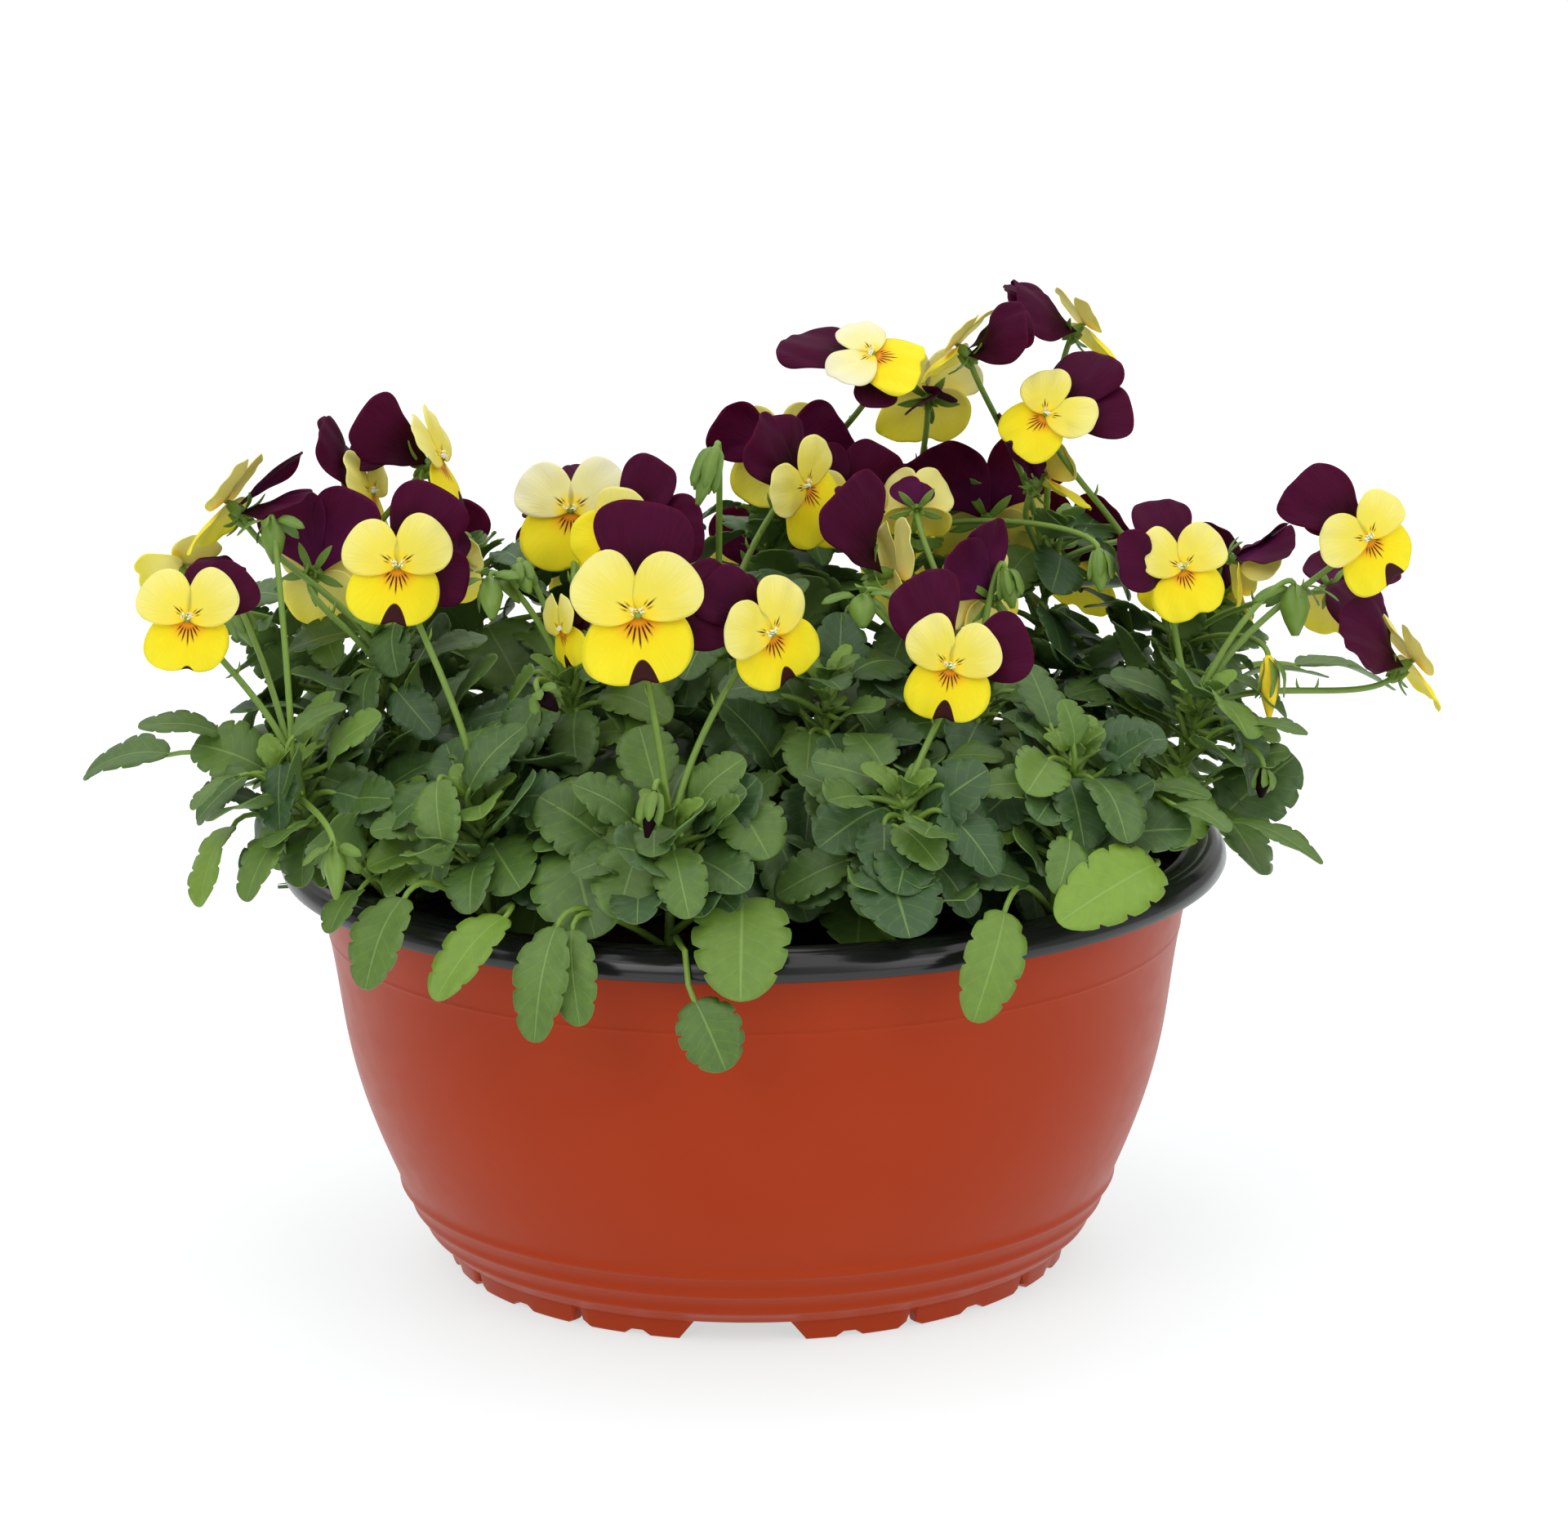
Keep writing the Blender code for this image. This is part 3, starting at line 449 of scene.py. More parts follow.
@dataclass(frozen=True)
class PetalSkin:
    """Velvety petal: tiny cone-shaped cells scatter light, so it looks deep and matt with a soft sheen."""

    name: str
    base: str
    margin: str
    eye: str
    reverse: str
    line: str = "#300608"
    eye_mm: tuple[float, float] = (2.2, 6.5)
    margin_mm: tuple[float, float] = (8.0, 19.0)
    # Veins fan out from the throat; the fan draws them about 0.6 mm apart, a little coarser than real ones.
    vein_fan: float = 26.0
    vein_stretch: float = 0.12
    vein_depth_mm: float = 0.4
    whisker_step: float = 15.0
    whisker_spread: float = 47.0
    whisker_mm: float = 0.0
    whisker_half_mm: tuple[float, float] = (0.15, 0.32)
    whisker_start_mm: tuple[float, float] = (2.4, 3.4)
    blotch_from_mm: float = 0.0
    # How fast the blotch narrows inwards, per millimetre of its width squared.
    blotch_taper: float = 0.42
    gloss: float = 0.3
    glow: float = 0.45

    def build(self) -> bpy.types.Material:
        """Make the material.

        Returns:
            A petal with its eye, whisker lines and tip blotch drawn in millimetres from the throat.
        """
        made, tree, shader = new_material(
            self.name, IOR=1.4, Roughness=0.62, Specular_IOR_Level=self.gloss,
            Subsurface_Weight=self.glow, Subsurface_Scale=1.2 * MM,
        )
        shader.inputs["Subsurface Radius"].default_value = (1.0, 0.85, 0.4)
        mark = add_node(tree, "ShaderNodeAttribute", attribute_name="mark").outputs["Vector"]
        blotch_mm = add_node(tree, "ShaderNodeAttribute", attribute_name="shade").outputs["Fac"]
        across, along, side = add_node(tree, "ShaderNodeSeparateXYZ", {0: mark}).outputs
        squared = maths(tree, "MULTIPLY", across, across)
        reach = maths(tree, "POWER", maths(tree, "MULTIPLY_ADD", along, along, squared), 0.5)
        turn = maths(tree, "ARCTAN2", across, along)
        fan = maths(tree, "MULTIPLY", turn, self.vein_fan)
        far = maths(tree, "MULTIPLY", reach, self.vein_stretch)
        veins = noise(tree, add_node(tree, "ShaderNodeCombineXYZ", {0: fan, 1: far, 2: 0.0}), 1.0, 3.0)
        outward = ramp(tree, reach, *self.margin_mm, 0.0, 0.9)
        tone = maths(tree, "ADD", outward, ramp(tree, veins, 0.3, 0.7, -0.22, 0.22), use_clamp=True)
        near = ramp(tree, reach, *self.eye_mm, 1.0, 0.0, interpolation_type="SMOOTHSTEP")
        colour = blend(tree, near, blend(tree, tone, self.base, self.margin), self.eye)
        drawn = []
        if self.whisker_mm:
            drawn.append(self.whiskers(tree, turn, reach))
        if self.blotch_from_mm:
            drawn.append(self.blotch(tree, squared, along, blotch_mm))
        if drawn:
            dark = drawn[0] if len(drawn) == 1 else maths(tree, "MAXIMUM", *drawn)
            front = maths(tree, "GREATER_THAN", side, 0.0)
            colour = blend(tree, maths(tree, "MULTIPLY", dark, front), colour, self.line)
        back = blend(tree, tone, self.reverse, self.margin)
        colour = blend(tree, ramp(tree, side, 0.5, -0.5, 0.0, 0.85), colour, back)
        tree.links.new(colour, shader.inputs["Base Color"])
        bump(tree, shader, veins, 0.3, self.vein_depth_mm)
        return made

    def whiskers(
        self, tree: Tree, turn: Node, reach: Node
    ) -> Node:
        """Draw the dark lines that fan out from the throat.

        Args:
            tree: The material's node tree.
            turn: The angle from the petal's middle line, in radians.
            reach: The distance from the throat, in millimetres.

        Returns:
            The node that is 1 on a line and 0 beside it.
        """
        step = math.radians(self.whisker_step)
        spread = math.radians(self.whisker_spread)
        # A line stands on the middle and at every step beside it.
        off = maths(tree, "FRACT", maths(tree, "ADD", maths(tree, "MULTIPLY", turn, 1 / step), 0.5))
        off = maths(tree, "ABSOLUTE", maths(tree, "SUBTRACT", off, 0.5))
        beside = maths(tree, "MULTIPLY", maths(tree, "MULTIPLY", off, reach), step)
        aside = maths(tree, "ABSOLUTE", turn)
        # The middle lines are the longest.
        length = ramp(tree, aside, 0.0, spread, self.whisker_mm, self.whisker_mm * 0.6)
        ends = ramp(tree, maths(tree, "SUBTRACT", reach, length), -1.6, 0.2, 1.0, 0.0)
        within = ramp(tree, aside, spread, spread + 0.06, 1.0, 0.0)
        drawn = maths(tree, "MULTIPLY", ramp(tree, beside, *self.whisker_half_mm, 1.0, 0.0), ends)
        drawn = maths(tree, "MULTIPLY", drawn, ramp(tree, reach, *self.whisker_start_mm))
        return maths(tree, "MULTIPLY", drawn, within)

    def blotch(
        self, tree: Tree, squared: Node, along: Socket, depth: Socket
    ) -> Node:
        """Draw the dark, round-topped wedge at the lower petal's notch.

        Args:
            tree: The material's node tree.
            squared: Millimetres from the middle line, squared.
            along: Millimetres from the throat.
            depth: How far the wedge reaches in from the edge, in millimetres.

        Returns:
            The node that is 1 on the wedge and 0 outside it.
        """
        inwards = maths(tree, "ADD", maths(tree, "SUBTRACT", along, self.blotch_from_mm), depth)
        return ramp(tree, maths(tree, "MULTIPLY_ADD", squared, -self.blotch_taper, inwards), -0.1, 0.25)


class Palette:
    """Every finish of the planter, built once."""

    def __init__(self) -> None:
        """Build the materials."""
        # Coloured polypropylene, moulded and unpainted: a warm, even satin.
        self.terracotta = MouldedPlastic(
            "terracotta polypropylene, moulded", "#A23209", "#A83A10", 0.34, 0.15
        ).build()
        # Black polypropylene from a polished tool: glossier, so that the lip catches a bright line.
        self.black = MouldedPlastic("black polypropylene, moulded", "#131315", "#242424", 0.2, 0.5).build()
        self.compost = Compost().build()
        self.leaf = LivingGreen("pansy leaf, waxy skin", "#34522A", "#76972C", "#8FAE60", "#6C8A48").build()
        self.stem = LivingGreen(
            "pansy stem, waxy skin", "#4E6E28", "#84A33E", "#93AF66", "#84A33E", roughness=0.42, veined=False
        ).build()
        lower = dict(eye="#F09200", reverse="#F6E88A", whisker_mm=8.6, blotch_from_mm=16.2, eye_mm=(2.4, 8.2))
        side = dict(eye="#FFD92E", reverse="#F2E488", whisker_step=14.0, whisker_spread=20.0, whisker_mm=6.2)
        self.lower = PetalSkin("pansy lower petal, yellow velvet", "#F8D60A", "#F6E32A", **lower).build()
        self.lateral = PetalSkin("pansy side petal, lemon velvet", "#F0DA50", "#EFE492", **side).build()
        self.cream = PetalSkin("pansy side petal, cream velvet", "#EEE298", "#EAE5CA", **side).build()
        self.upper = PetalSkin(
            "pansy upper petal, burgundy velvet",
            "#260212",
            "#44042A",
            eye="#16020A",
            reverse="#561344",
            gloss=0.12,
            glow=0.25,
        ).build()
        self.beard = LivingGreen(
            "pansy beard, white hairs", "#F4F2D8", "#FFFFF0", "#FFFFFF", "#FFFFFF", veined=False
        ).build()

    def petals(self, cream: bool) -> list[bpy.types.Material]:
        """The materials of one bloom's head, in slot order: lower, side, upper, beard, green.

        Args:
            cream: Whether the side petals are cream.

        Returns:
            The five materials.
        """
        return [self.lower, self.cream if cream else self.lateral, self.upper, self.beard, self.stem]


# ---------------------------------------------------------------- the bowl and its soil


@dataclass
class Bowl:
    """The two-colour bowl: a terracotta outer wall on notched feet, and a black liner with a rolled rim."""

    # Outer radius at each height, from the waist above the feet up to the rim.
    profile: tuple = (
        (6.0, 91.6),
        (10.0, 95.2),
        (17.5, 99.5),
        (25.0, 103.5),
        (35.0, 107.6),
        (44.0, 111.1),
        (53.0, 114.2),
        (64.0, 116.6),
        (77.0, 118.9),
        (91.0, 121.0),
        (103.0, 123.1),
        (112.8, 124.9),
    )
    ridges: tuple = (22.8, 16.4, 10.2)
    ridge_height: float = 1.15
    parting_height: float = 97.5
    outer_thickness: float = 1.2
    gap: float = 0.3
    liner_thickness: float = 1.0
    floor_height: float = 6.5
    foot_outer: float = 89.6
    foot_inner: float = 85.8
    first_arch: float = -93.0
    drain_holes: int = 8
    drain_radius: float = 4.0
    drain_circle: float = 58.0
    pin_heights: tuple = (-4.0, 2.0, 8.0, 14.0)
    # How far a foot is cut away at each angle, up to the middle of a quarter turn; the rest mirrors it.
    cuts: tuple = (
        (0.0, 5.4), (8.6, 5.4), (11.4, 0.0), (16.8, 0.0), (18.2, 1.4), (20.4, 1.4),
        (21.8, 0.0), (28.6, 0.0), (30.2, 1.6), (30.8, 4.6), (31.8, 4.6), (32.2, 1.0),
        (33.6, 0.0), (42.0, 0.0), (43.6, 1.4), (45.0, 1.4),
    )
    # Radius and height along the rolled lip, from under its outer edge, over the top, to the inside.
    lip: tuple = (
        (125.3, 113.1), (129.5, 113.9), (133.2, 114.7), (134.4, 115.2), (135.0, 116.4),
        (134.9, 117.8), (134.2, 119.4), (133.4, 120.4), (132.9, 120.7), (132.5, 121.3),
        (131.4, 122.0), (130.2, 122.4), (129.7, 122.3), (129.2, 122.6), (127.5, 122.9),
        (125.6, 122.8), (124.0, 122.3), (122.9, 121.3), (122.4, 119.8), (122.5, 117.0),
    )
    wall_top: float = 112.8
    ridge_half: float = 1.5
    parting_rise: float = 0.22
    parting_half: float = 0.3
    facet_degrees: float = 1.4
    floor_share: float = 0.8
    sharp_degrees: float = 35.0

    def wall(self, height: np.ndarray) -> np.ndarray:
        """Outer radius at a height, before the ridges."""
        heights, radii = np.array(self.profile).T
        fit = np.polynomial.Polynomial.fit(heights, radii, 6)
        return fit(height)

    def angles(self) -> list[float]:
        """Angles of the facets, with one at each corner of a foot."""
        corners = [angle for angle, _ in self.cuts]
        corners += [90 - angle for angle in reversed(corners[1:-1])]
        found: list[float] = []
        for quarter in range(4):
            for start, end in zip(corners, corners[1:] + [90.0]):
                steps = max(1, round((end - start) / self.facet_degrees))
                within = np.linspace(start, end, steps, endpoint=False)
                found += [self.first_arch + quarter * 90 + a for a in within]
        return found

    def foot_cut(self, angle: float) -> float:
        """How far the foot is cut away at an angle."""
        within = (angle - self.first_arch) % 90
        return float(np.interp(min(within, 90 - within), *zip(*self.cuts)))

    def ring(self, radius: float, height: float) -> np.ndarray:
        """A ring of points at one radius and height."""
        turns = np.radians(self.angles())
        return np.stack([radius * np.cos(turns), radius * np.sin(turns), np.full(len(turns), height)], 1)

    def skin(self, mesh: Mesh, rings: list[np.ndarray], slot: int) -> None:
        """Skin rings into a closed body with a floor at each end.

        Args:
            mesh: The mesh to add to.
            rings: Rings of points, from the underside of the floor, up the outside and down the inside.
            slot: The material's number.
        """
        count = len(rings[0])
        points = np.concatenate(rings)
        faces = ring_faces(len(rings), count)
        floors, start = [], len(points)
        for ring in (rings[0], rings[-1]):
            floors.append(ring * (self.floor_share, self.floor_share, 1))
        points = np.concatenate([points, *floors])
        last = (len(rings) - 1) * count
        for i in range(count):
            j = (i + 1) % count
            faces.append((j, i, start + i, start + j))
            faces.append((last + i, last + j, start + count + j, start + count + i))
        faces.append(tuple(reversed(range(start, start + count))))
        faces.append(tuple(range(start + count, start + 2 * count)))
        mesh.add(points, faces, slot, np.zeros((len(points), 3)), 0.0)

    def outer_wall(self) -> Mesh:
        """The terracotta wall, its ridges, parting line and feet."""
        mesh = Mesh()
        # Rows stand close together over the ridges and at the parting line.
        heights = np.concatenate([np.linspace(6.5, 30, 48), np.linspace(31, self.wall_top, 42)])
        heights = np.sort(np.append(heights, self.parting_height + np.array([-0.5, -0.2, 0.2, 0.5])))
        radii = self.wall(heights)
        for ridge in self.ridges:
            radii = radii + self.ridge_height * np.exp(-(((heights - ridge) / self.ridge_half) ** 2))
        line = np.exp(-(((heights - self.parting_height) / self.parting_half) ** 2))
        radii = radii + self.parting_rise * line
        cut = np.array([self.foot_cut(a) for a in self.angles()])
        rings = [self.ring(self.foot_inner - 1.0, self.floor_height)]
        inside, outside = self.foot_inner, self.foot_outer
        foot = ((inside - 0.4, 5.9), (inside, 0.5), (inside + 0.5, 0.0), (outside - 0.8, 0.0))
        foot += ((outside - 0.2, 0.4), (outside, 1.2), (outside + 0.9, 5.6))
        for radius, height in foot:
            ring = self.ring(radius, height)
            # A cut squeezes the foot up towards the floor.
            ring[:, 2] = np.maximum(height, cut + height * (1 - cut / 6))
            rings.append(ring)
        rings += [self.ring(r, h) for r, h in zip(radii, heights)]
        inner = np.linspace(self.wall_top, 9.5, 30)
        rings += [self.ring(self.wall(h) - self.outer_thickness, h) for h in inner]
        rings.append(self.ring(self.foot_outer - 1, self.floor_height + self.outer_thickness))
        self.skin(mesh, rings, 0)
        return mesh

    def liner(self) -> Mesh:
        """The black liner and the rolled rim, with two fine rings moulded round the top of the lip."""
        mesh = Mesh()
        outside = self.outer_thickness + self.gap
        inside = outside + self.liner_thickness
        floor = self.floor_height + self.outer_thickness + self.gap
        rings = [self.ring(self.foot_outer - 1.4, floor)]
        rings += [self.ring(self.wall(h) - outside, h) for h in np.linspace(floor + 1.5, self.wall_top, 24)]
        rings += [self.ring(radius, height) for radius, height in self.lip]
        rings += [self.ring(self.wall(h) - inside, h) for h in np.linspace(self.wall_top, floor + 3, 30)]
        rings.append(self.ring(self.foot_outer - 2.2, floor + self.liner_thickness))
        self.skin(mesh, rings, 0)
        return mesh

    def drain_cutter(self) -> bpy.types.Object:
        """Pins that cut the drainage holes.

        Returns:
            An object for Boolean modifiers.
        """
        pins = Mesh()
        for i in range(self.drain_holes):
            angle = math.radians(360 * i / self.drain_holes)
            at = np.array([self.drain_circle * math.cos(angle), self.drain_circle * math.sin(angle), 0])
            path = np.array([at + UP * h for h in self.pin_heights])
            pins.add_tube(path, np.full(len(path), self.drain_radius), 32, 0, 0.0)
        return pins.finish("drain_pins", [])

    def build(self, palette: Palette) -> None:
        """Build both layers, cut their drainage holes and dress them."""
        wall = self.outer_wall().finish("pot_outer_wall_moulded", [palette.terracotta], self.sharp_degrees)
        liner = self.liner().finish("pot_liner_moulded", [palette.black], self.sharp_degrees)
        pins = self.drain_cutter()
        for piece in (wall, liner):
            holes = piece.modifiers.new("drain_holes", "BOOLEAN")
            holes.operation, holes.solver, holes.object = "DIFFERENCE", "EXACT", pins
            graph = bpy.context.evaluated_depsgraph_get()
            piece.data = bpy.data.meshes.new_from_object(piece.evaluated_get(graph))
            piece.modifiers.clear()
        bpy.data.objects.remove(pins)
        place(wall, "terracotta_plastic", "pot_outer_wall")
        place(liner, "black_plastic", "pot_inner_liner_with_rim")


@dataclass
class Soil:
    """The compost: a crumbly domed top inside the liner, with bark chips on it."""

    edge_height: float = 110.0
    dome: float = 5.6
    radius: float = 121.5
    bottom: float = 12.0
    facets: int = 180
    gap: float = 0.4
    crumb: float = 0.55
    lump: float = 1.1
    seed: int = 5
    chips: int = 260
    chip_shape: tuple = (0.5, 1.0, 0.9, 0.4)

    def height(self, reach: float) -> float:
        """Mean height of the top at a distance from the axis."""
        return self.edge_height + self.dome * (1 - min(reach / self.radius, 1) ** 2)

    def build(self, palette: Palette, bowl: Bowl) -> None:
        """Build the body and its chips.

        Args:
            palette: The finishes.
            bowl: The bowl that holds it.
        """
        rng = np.random.default_rng(self.seed)
        mesh = Mesh()
        inset = bowl.outer_thickness + bowl.gap + bowl.liner_thickness + self.gap
        count = self.facets
        turns = np.linspace(0, 2 * math.pi, count, endpoint=False)
        rings = []
        for height in np.linspace(self.bottom, self.edge_height - 1.5, 14):
            radius = float(bowl.wall(height)) - inset
            level = np.full(count, height)
            rings.append(np.stack([radius * np.cos(turns), radius * np.sin(turns), level], 1))
        for share in np.linspace(0.985, 0.02, 56):
            radius = self.radius * share
            # Fine crumbs lie on broader lumps, and both die away at the axis.
            lump = rng.normal(0, self.crumb, count)
            lump = lump + self.lump * np.sin(turns * 7 + share * 31) * np.sin(share * 40 + turns * 2)
            heights = self.height(radius) + lump * min(1, share * 6) - 1.0
            rings.append(np.stack([radius * np.cos(turns), radius * np.sin(turns), heights], 1))
        points = np.concatenate(rings)
        faces = ring_faces(len(rings), count)
        faces.append(tuple(reversed(range(count))))
        faces.append(tuple(range(len(points) - count, len(points))))
        mesh.add(points, faces, 0, np.zeros((len(points), 3)), 0.0)
        for _ in range(self.chips):
            self.add_chip(mesh, rng)
        piece = mesh.finish("potting_soil_crumbly", [palette.compost], 50)
        place(piece, "potting_soil", "potting_soil")

    def add_chip(self, mesh: Mesh, rng: np.random.Generator) -> None:
        """Lay one flat, uneven bark chip on the soil."""
        reach = self.radius * 0.96 * math.sqrt(rng.uniform())
        turn = rng.uniform(0, 2 * math.pi)
        height = self.height(reach) + rng.uniform(-0.4, 0.6)
        centre = np.array([reach * math.cos(turn), reach * math.sin(turn), height])
        long, wide, thick = rng.uniform(2.5, 6.0), rng.uniform(1.2, 2.6), rng.uniform(0.6, 1.4)
        ahead = heading(rng.uniform(0, 2 * math.pi), rng.uniform(-0.3, 0.3))
        path = np.array([centre + ahead * long * s for s in (-0.5, -0.2, 0.25, 0.5)])
        start = len(mesh.points)
        mesh.add_tube(path, np.array(self.chip_shape) * wide / 2, 6, 0, 0.0)
        squashed = mesh.points[start]
        squashed[:, 2] = centre[2] + (squashed[:, 2] - centre[2]) * thick / wide


# The rim as leaves meet it: its inner and outer reach, its top, and the height of its underside.
RIM_IN, RIM_OUT, RIM_TOP, RIM_UNDER = 121.0, 135.5, 123.0, 112.0
WALL_REACH = 110.0


def drape(points: np.ndarray, margin: float = 0.7) -> np.ndarray:
    """Lift points off the soil, over the rim, or clear of the bowl's outside.

    Args:
        points: Points in millimetres.
        margin: How far they stay away.

    Returns:
        The moved points.
    """
    moved = points.copy()
    reach = np.hypot(moved[:, 0], moved[:, 1])
    soil_top = Soil.edge_height + Soil.dome * (1 - np.minimum(reach / Soil.radius, 1) ** 2)
    inside = reach < RIM_IN
    moved[inside, 2] = np.maximum(moved[inside, 2], soil_top[inside] + margin)
    over = (reach >= RIM_IN) & (reach <= RIM_OUT) & (moved[:, 2] > RIM_UNDER)
    moved[over, 2] = np.maximum(moved[over, 2], RIM_TOP + margin)
    under = (reach > WALL_REACH) & (reach < RIM_OUT + margin) & (moved[:, 2] <= RIM_UNDER)
    moved[under, :2] *= ((RIM_OUT + margin) / reach[under])[:, None]
    return moved


# ---------------------------------------------------------------- blooms


class Look(Enum):
    """How a bloom has opened: its side petals' colour and how far its petals fold."""

    FRESH = (False, 0.0, 5.4)
    NEAT = (False, 0.0, 2.0)
    CREAM = (True, 0.0, 0.0)
    PLAIN = (False, 4.0, 0.0)
    NODDING = (False, 24.0, 3.0)
    WILTING = (False, 40.0, 3.0)
    REFLEXED = (False, -18.0, 3.0)

    def __init__(self, cream: bool, fold: float, blotch: float) -> None:
        """Keep whether the side petals are cream, the fold in degrees and the blotch in millimetres."""
        self.cream, self.fold, self.blotch = cream, fold, blotch


@dataclass
class Spot:
    """Where a bloom sits: its throat, the way it faces, its lift, its roll, its size and its look.

    The uppers, where given, hold a turn, a backward lean, a size and maybe a twist for each dark petal.
    """

    throat: tuple[float, float, float]
    facing: float
    lift: float
    roll: float
    size: float
    look: Look = Look.FRESH
    uppers: tuple = ()

    def matrix(self) -> Matrix:
        """Placement of a bloom that is modelled at the origin, facing -Y with its upper petals up."""
        turn = Matrix.Rotation(math.radians(self.facing), 4, "Z")
        tilt = Matrix.Rotation(math.radians(-self.lift), 4, "X")
        spin = Matrix.Rotation(math.radians(-self.roll), 4, "Y")
        return Matrix.Translation(Vector(self.throat)) @ turn @ tilt @ spin @ Matrix.Scale(self.size, 4)


@dataclass(frozen=True)
class PetalShape:
    """A petal: the way it points from straight up, its half outline from claw to tip, and its form."""

    turn: float
    outline: tuple
    slot: int
    behind: float
    lean: float
    cup: float
    tip_curl: float
    ruffle: float
    scale: float = 1.0
    twist: float = 0.0


LOWER_OUTLINE = (
    (0.0, 0.3), (2.6, -0.7), (6.2, -1.2), (9.8, -0.3), (12.8, 2.6), (14.3, 6.9),
    (13.9, 11.2), (11.4, 14.6), (7.4, 16.5), (3.4, 16.9), (0.0, 16.0),
)
SIDE_OUTLINE = (
    (0.0, 0.3), (1.9, 0.6), (4.3, 2.2), (6.8, 4.9), (8.5, 8.2),
    (8.9, 11.3), (7.7, 14.4), (4.5, 16.7), (0.0, 17.4),
)
UPPER_OUTLINE = (
    (0.0, 0.5), (1.8, 1.6), (3.9, 5.0), (7.2, 9.6), (10.0, 14.6),
    (11.2, 19.2), (10.0, 23.4), (6.2, 26.2), (0.0, 27.0),
)
PETALS = (
    PetalShape(25, UPPER_OUTLINE, 2, 4.0, 8, 0.010, 0.9, 1.6),
    PetalShape(-25, UPPER_OUTLINE, 2, 2.4, 7, 0.010, 0.9, 1.6),
    PetalShape(180, LOWER_OUTLINE, 0, -0.1, -6, 0.014, 1.2, 0.7),
    PetalShape(53, SIDE_OUTLINE, 1, -1.3, -1, 0.008, 1.0, 0.7),
    PetalShape(-53, SIDE_OUTLINE, 1, -1.3, -1, 0.008, 1.0, 0.7),
)


class Petal:
    """Turns a petal's outline into a ruffled sheet on a grid that fills a round shape evenly."""

    cells = 18

    def __init__(self, shape: PetalShape, rng: random.Random, fold: float) -> None:
        """Keep the shape and draw its own small differences.

        Args:
            shape: The petal's nominal shape.
            rng: The bloom's random numbers.
            fold: How far the petals fold forwards, in degrees.
        """
        self.shape = shape
        self.turn = math.radians(shape.turn + rng.uniform(-4, 4))
        self.fold = math.radians(fold + rng.uniform(-5, 5) - shape.lean)
        self.width = shape.scale * rng.uniform(0.93, 1.07)
        self.length = shape.scale * rng.uniform(0.95, 1.05)
        self.skew = rng.uniform(-0.09, 0.09)
        self.phases = [rng.uniform(0, 2 * math.pi) for _ in range(3)]
        self.ruffle = shape.ruffle * rng.uniform(0.7, 1.4)

    def outline(self, share: np.ndarray) -> np.ndarray:
        """Points of the closed outline.

        Args:
            share: Places round the outline, from 0 at the claw, 0.5 at the tip, to 1.

        Returns:
            Points across and along the petal, in millimetres.
        """
        half = np.array(self.shape.outline)
        loop = np.concatenate([half, half[-2:0:-1] * (-1, 1)])
        count = len(loop)
        at = (share % 1) * count
        low = np.floor(at).astype(int)
        part = (at - low)[..., None]
        a, b, c, d = (loop[(low + k) % count] for k in (-1, 0, 1, 2))
        bend, twist = 2 * a - 5 * b + 4 * c - d, 3 * b - a - 3 * c + d
        return (2 * b + (c - a) * part + bend * part**2 + twist * part**3) / 2

    def flat_grid(self) -> np.ndarray:
        """The petal laid flat: a square grid drawn onto the outline."""
        line = np.linspace(-1, 1, self.cells + 1)
        a, b = np.meshgrid(line, line, indexing="xy")
        x, y = a * np.sqrt(1 - b * b / 2), b * np.sqrt(1 - a * a / 2)
        reach = np.clip(np.hypot(x, y), 0, 1)
        share = (np.arctan2(x, -y) / (2 * math.pi)) % 1
        edge = self.outline(share)
        middle = np.array([0.0, self.shape.outline[-1][1] * 0.52])
        flat = (middle + (edge - middle) * reach[..., None]) * (self.width, self.length)
        flat[..., 0] += self.skew * flat[..., 1] * np.abs(flat[..., 0]) / 6
        return flat

    def sheet(self) -> tuple[np.ndarray, np.ndarray]:
        """The petal in the bloom's own space.

        Returns:
            The grid of points, and their places across and along the petal.
        """
        flat = self.flat_grid()
        across, along = flat[..., 0], flat[..., 1]
        length = self.shape.outline[-1][1]
        rise = along / length
        depth = self.shape.cup * across**2 + self.shape.tip_curl * np.maximum(rise - 0.55, 0) ** 2 * 6
        spread = np.hypot(across / 12, rise) ** 2
        angle = np.arctan2(across, along - length * 0.4)
        waves = np.sin(3 * angle + self.phases[0]) + 0.6 * np.sin(5 * angle + self.phases[1])
        depth = depth + self.ruffle * 0.5 * waves * spread
        depth = depth + 0.25 * np.sin(across * 0.9 + self.phases[2]) * spread
        # A twist turns the blade about its own length, more and more from the claw outwards.
        twist = math.radians(self.shape.twist) * np.clip(rise * 2.2, 0, 1)
        across, depth = across * np.cos(twist), depth + across * np.sin(twist)
        forward = along * math.cos(self.fold) + depth * math.sin(self.fold)
        back = depth * math.cos(self.fold) - along * math.sin(self.fold)
        out = np.array([math.sin(self.turn), 0, math.cos(self.turn)])
        side = np.array([math.cos(self.turn), 0, -math.sin(self.turn)])
        grid = forward[..., None] * out + across[..., None] * side
        grid[..., 1] += back + self.shape.behind
        return grid, flat


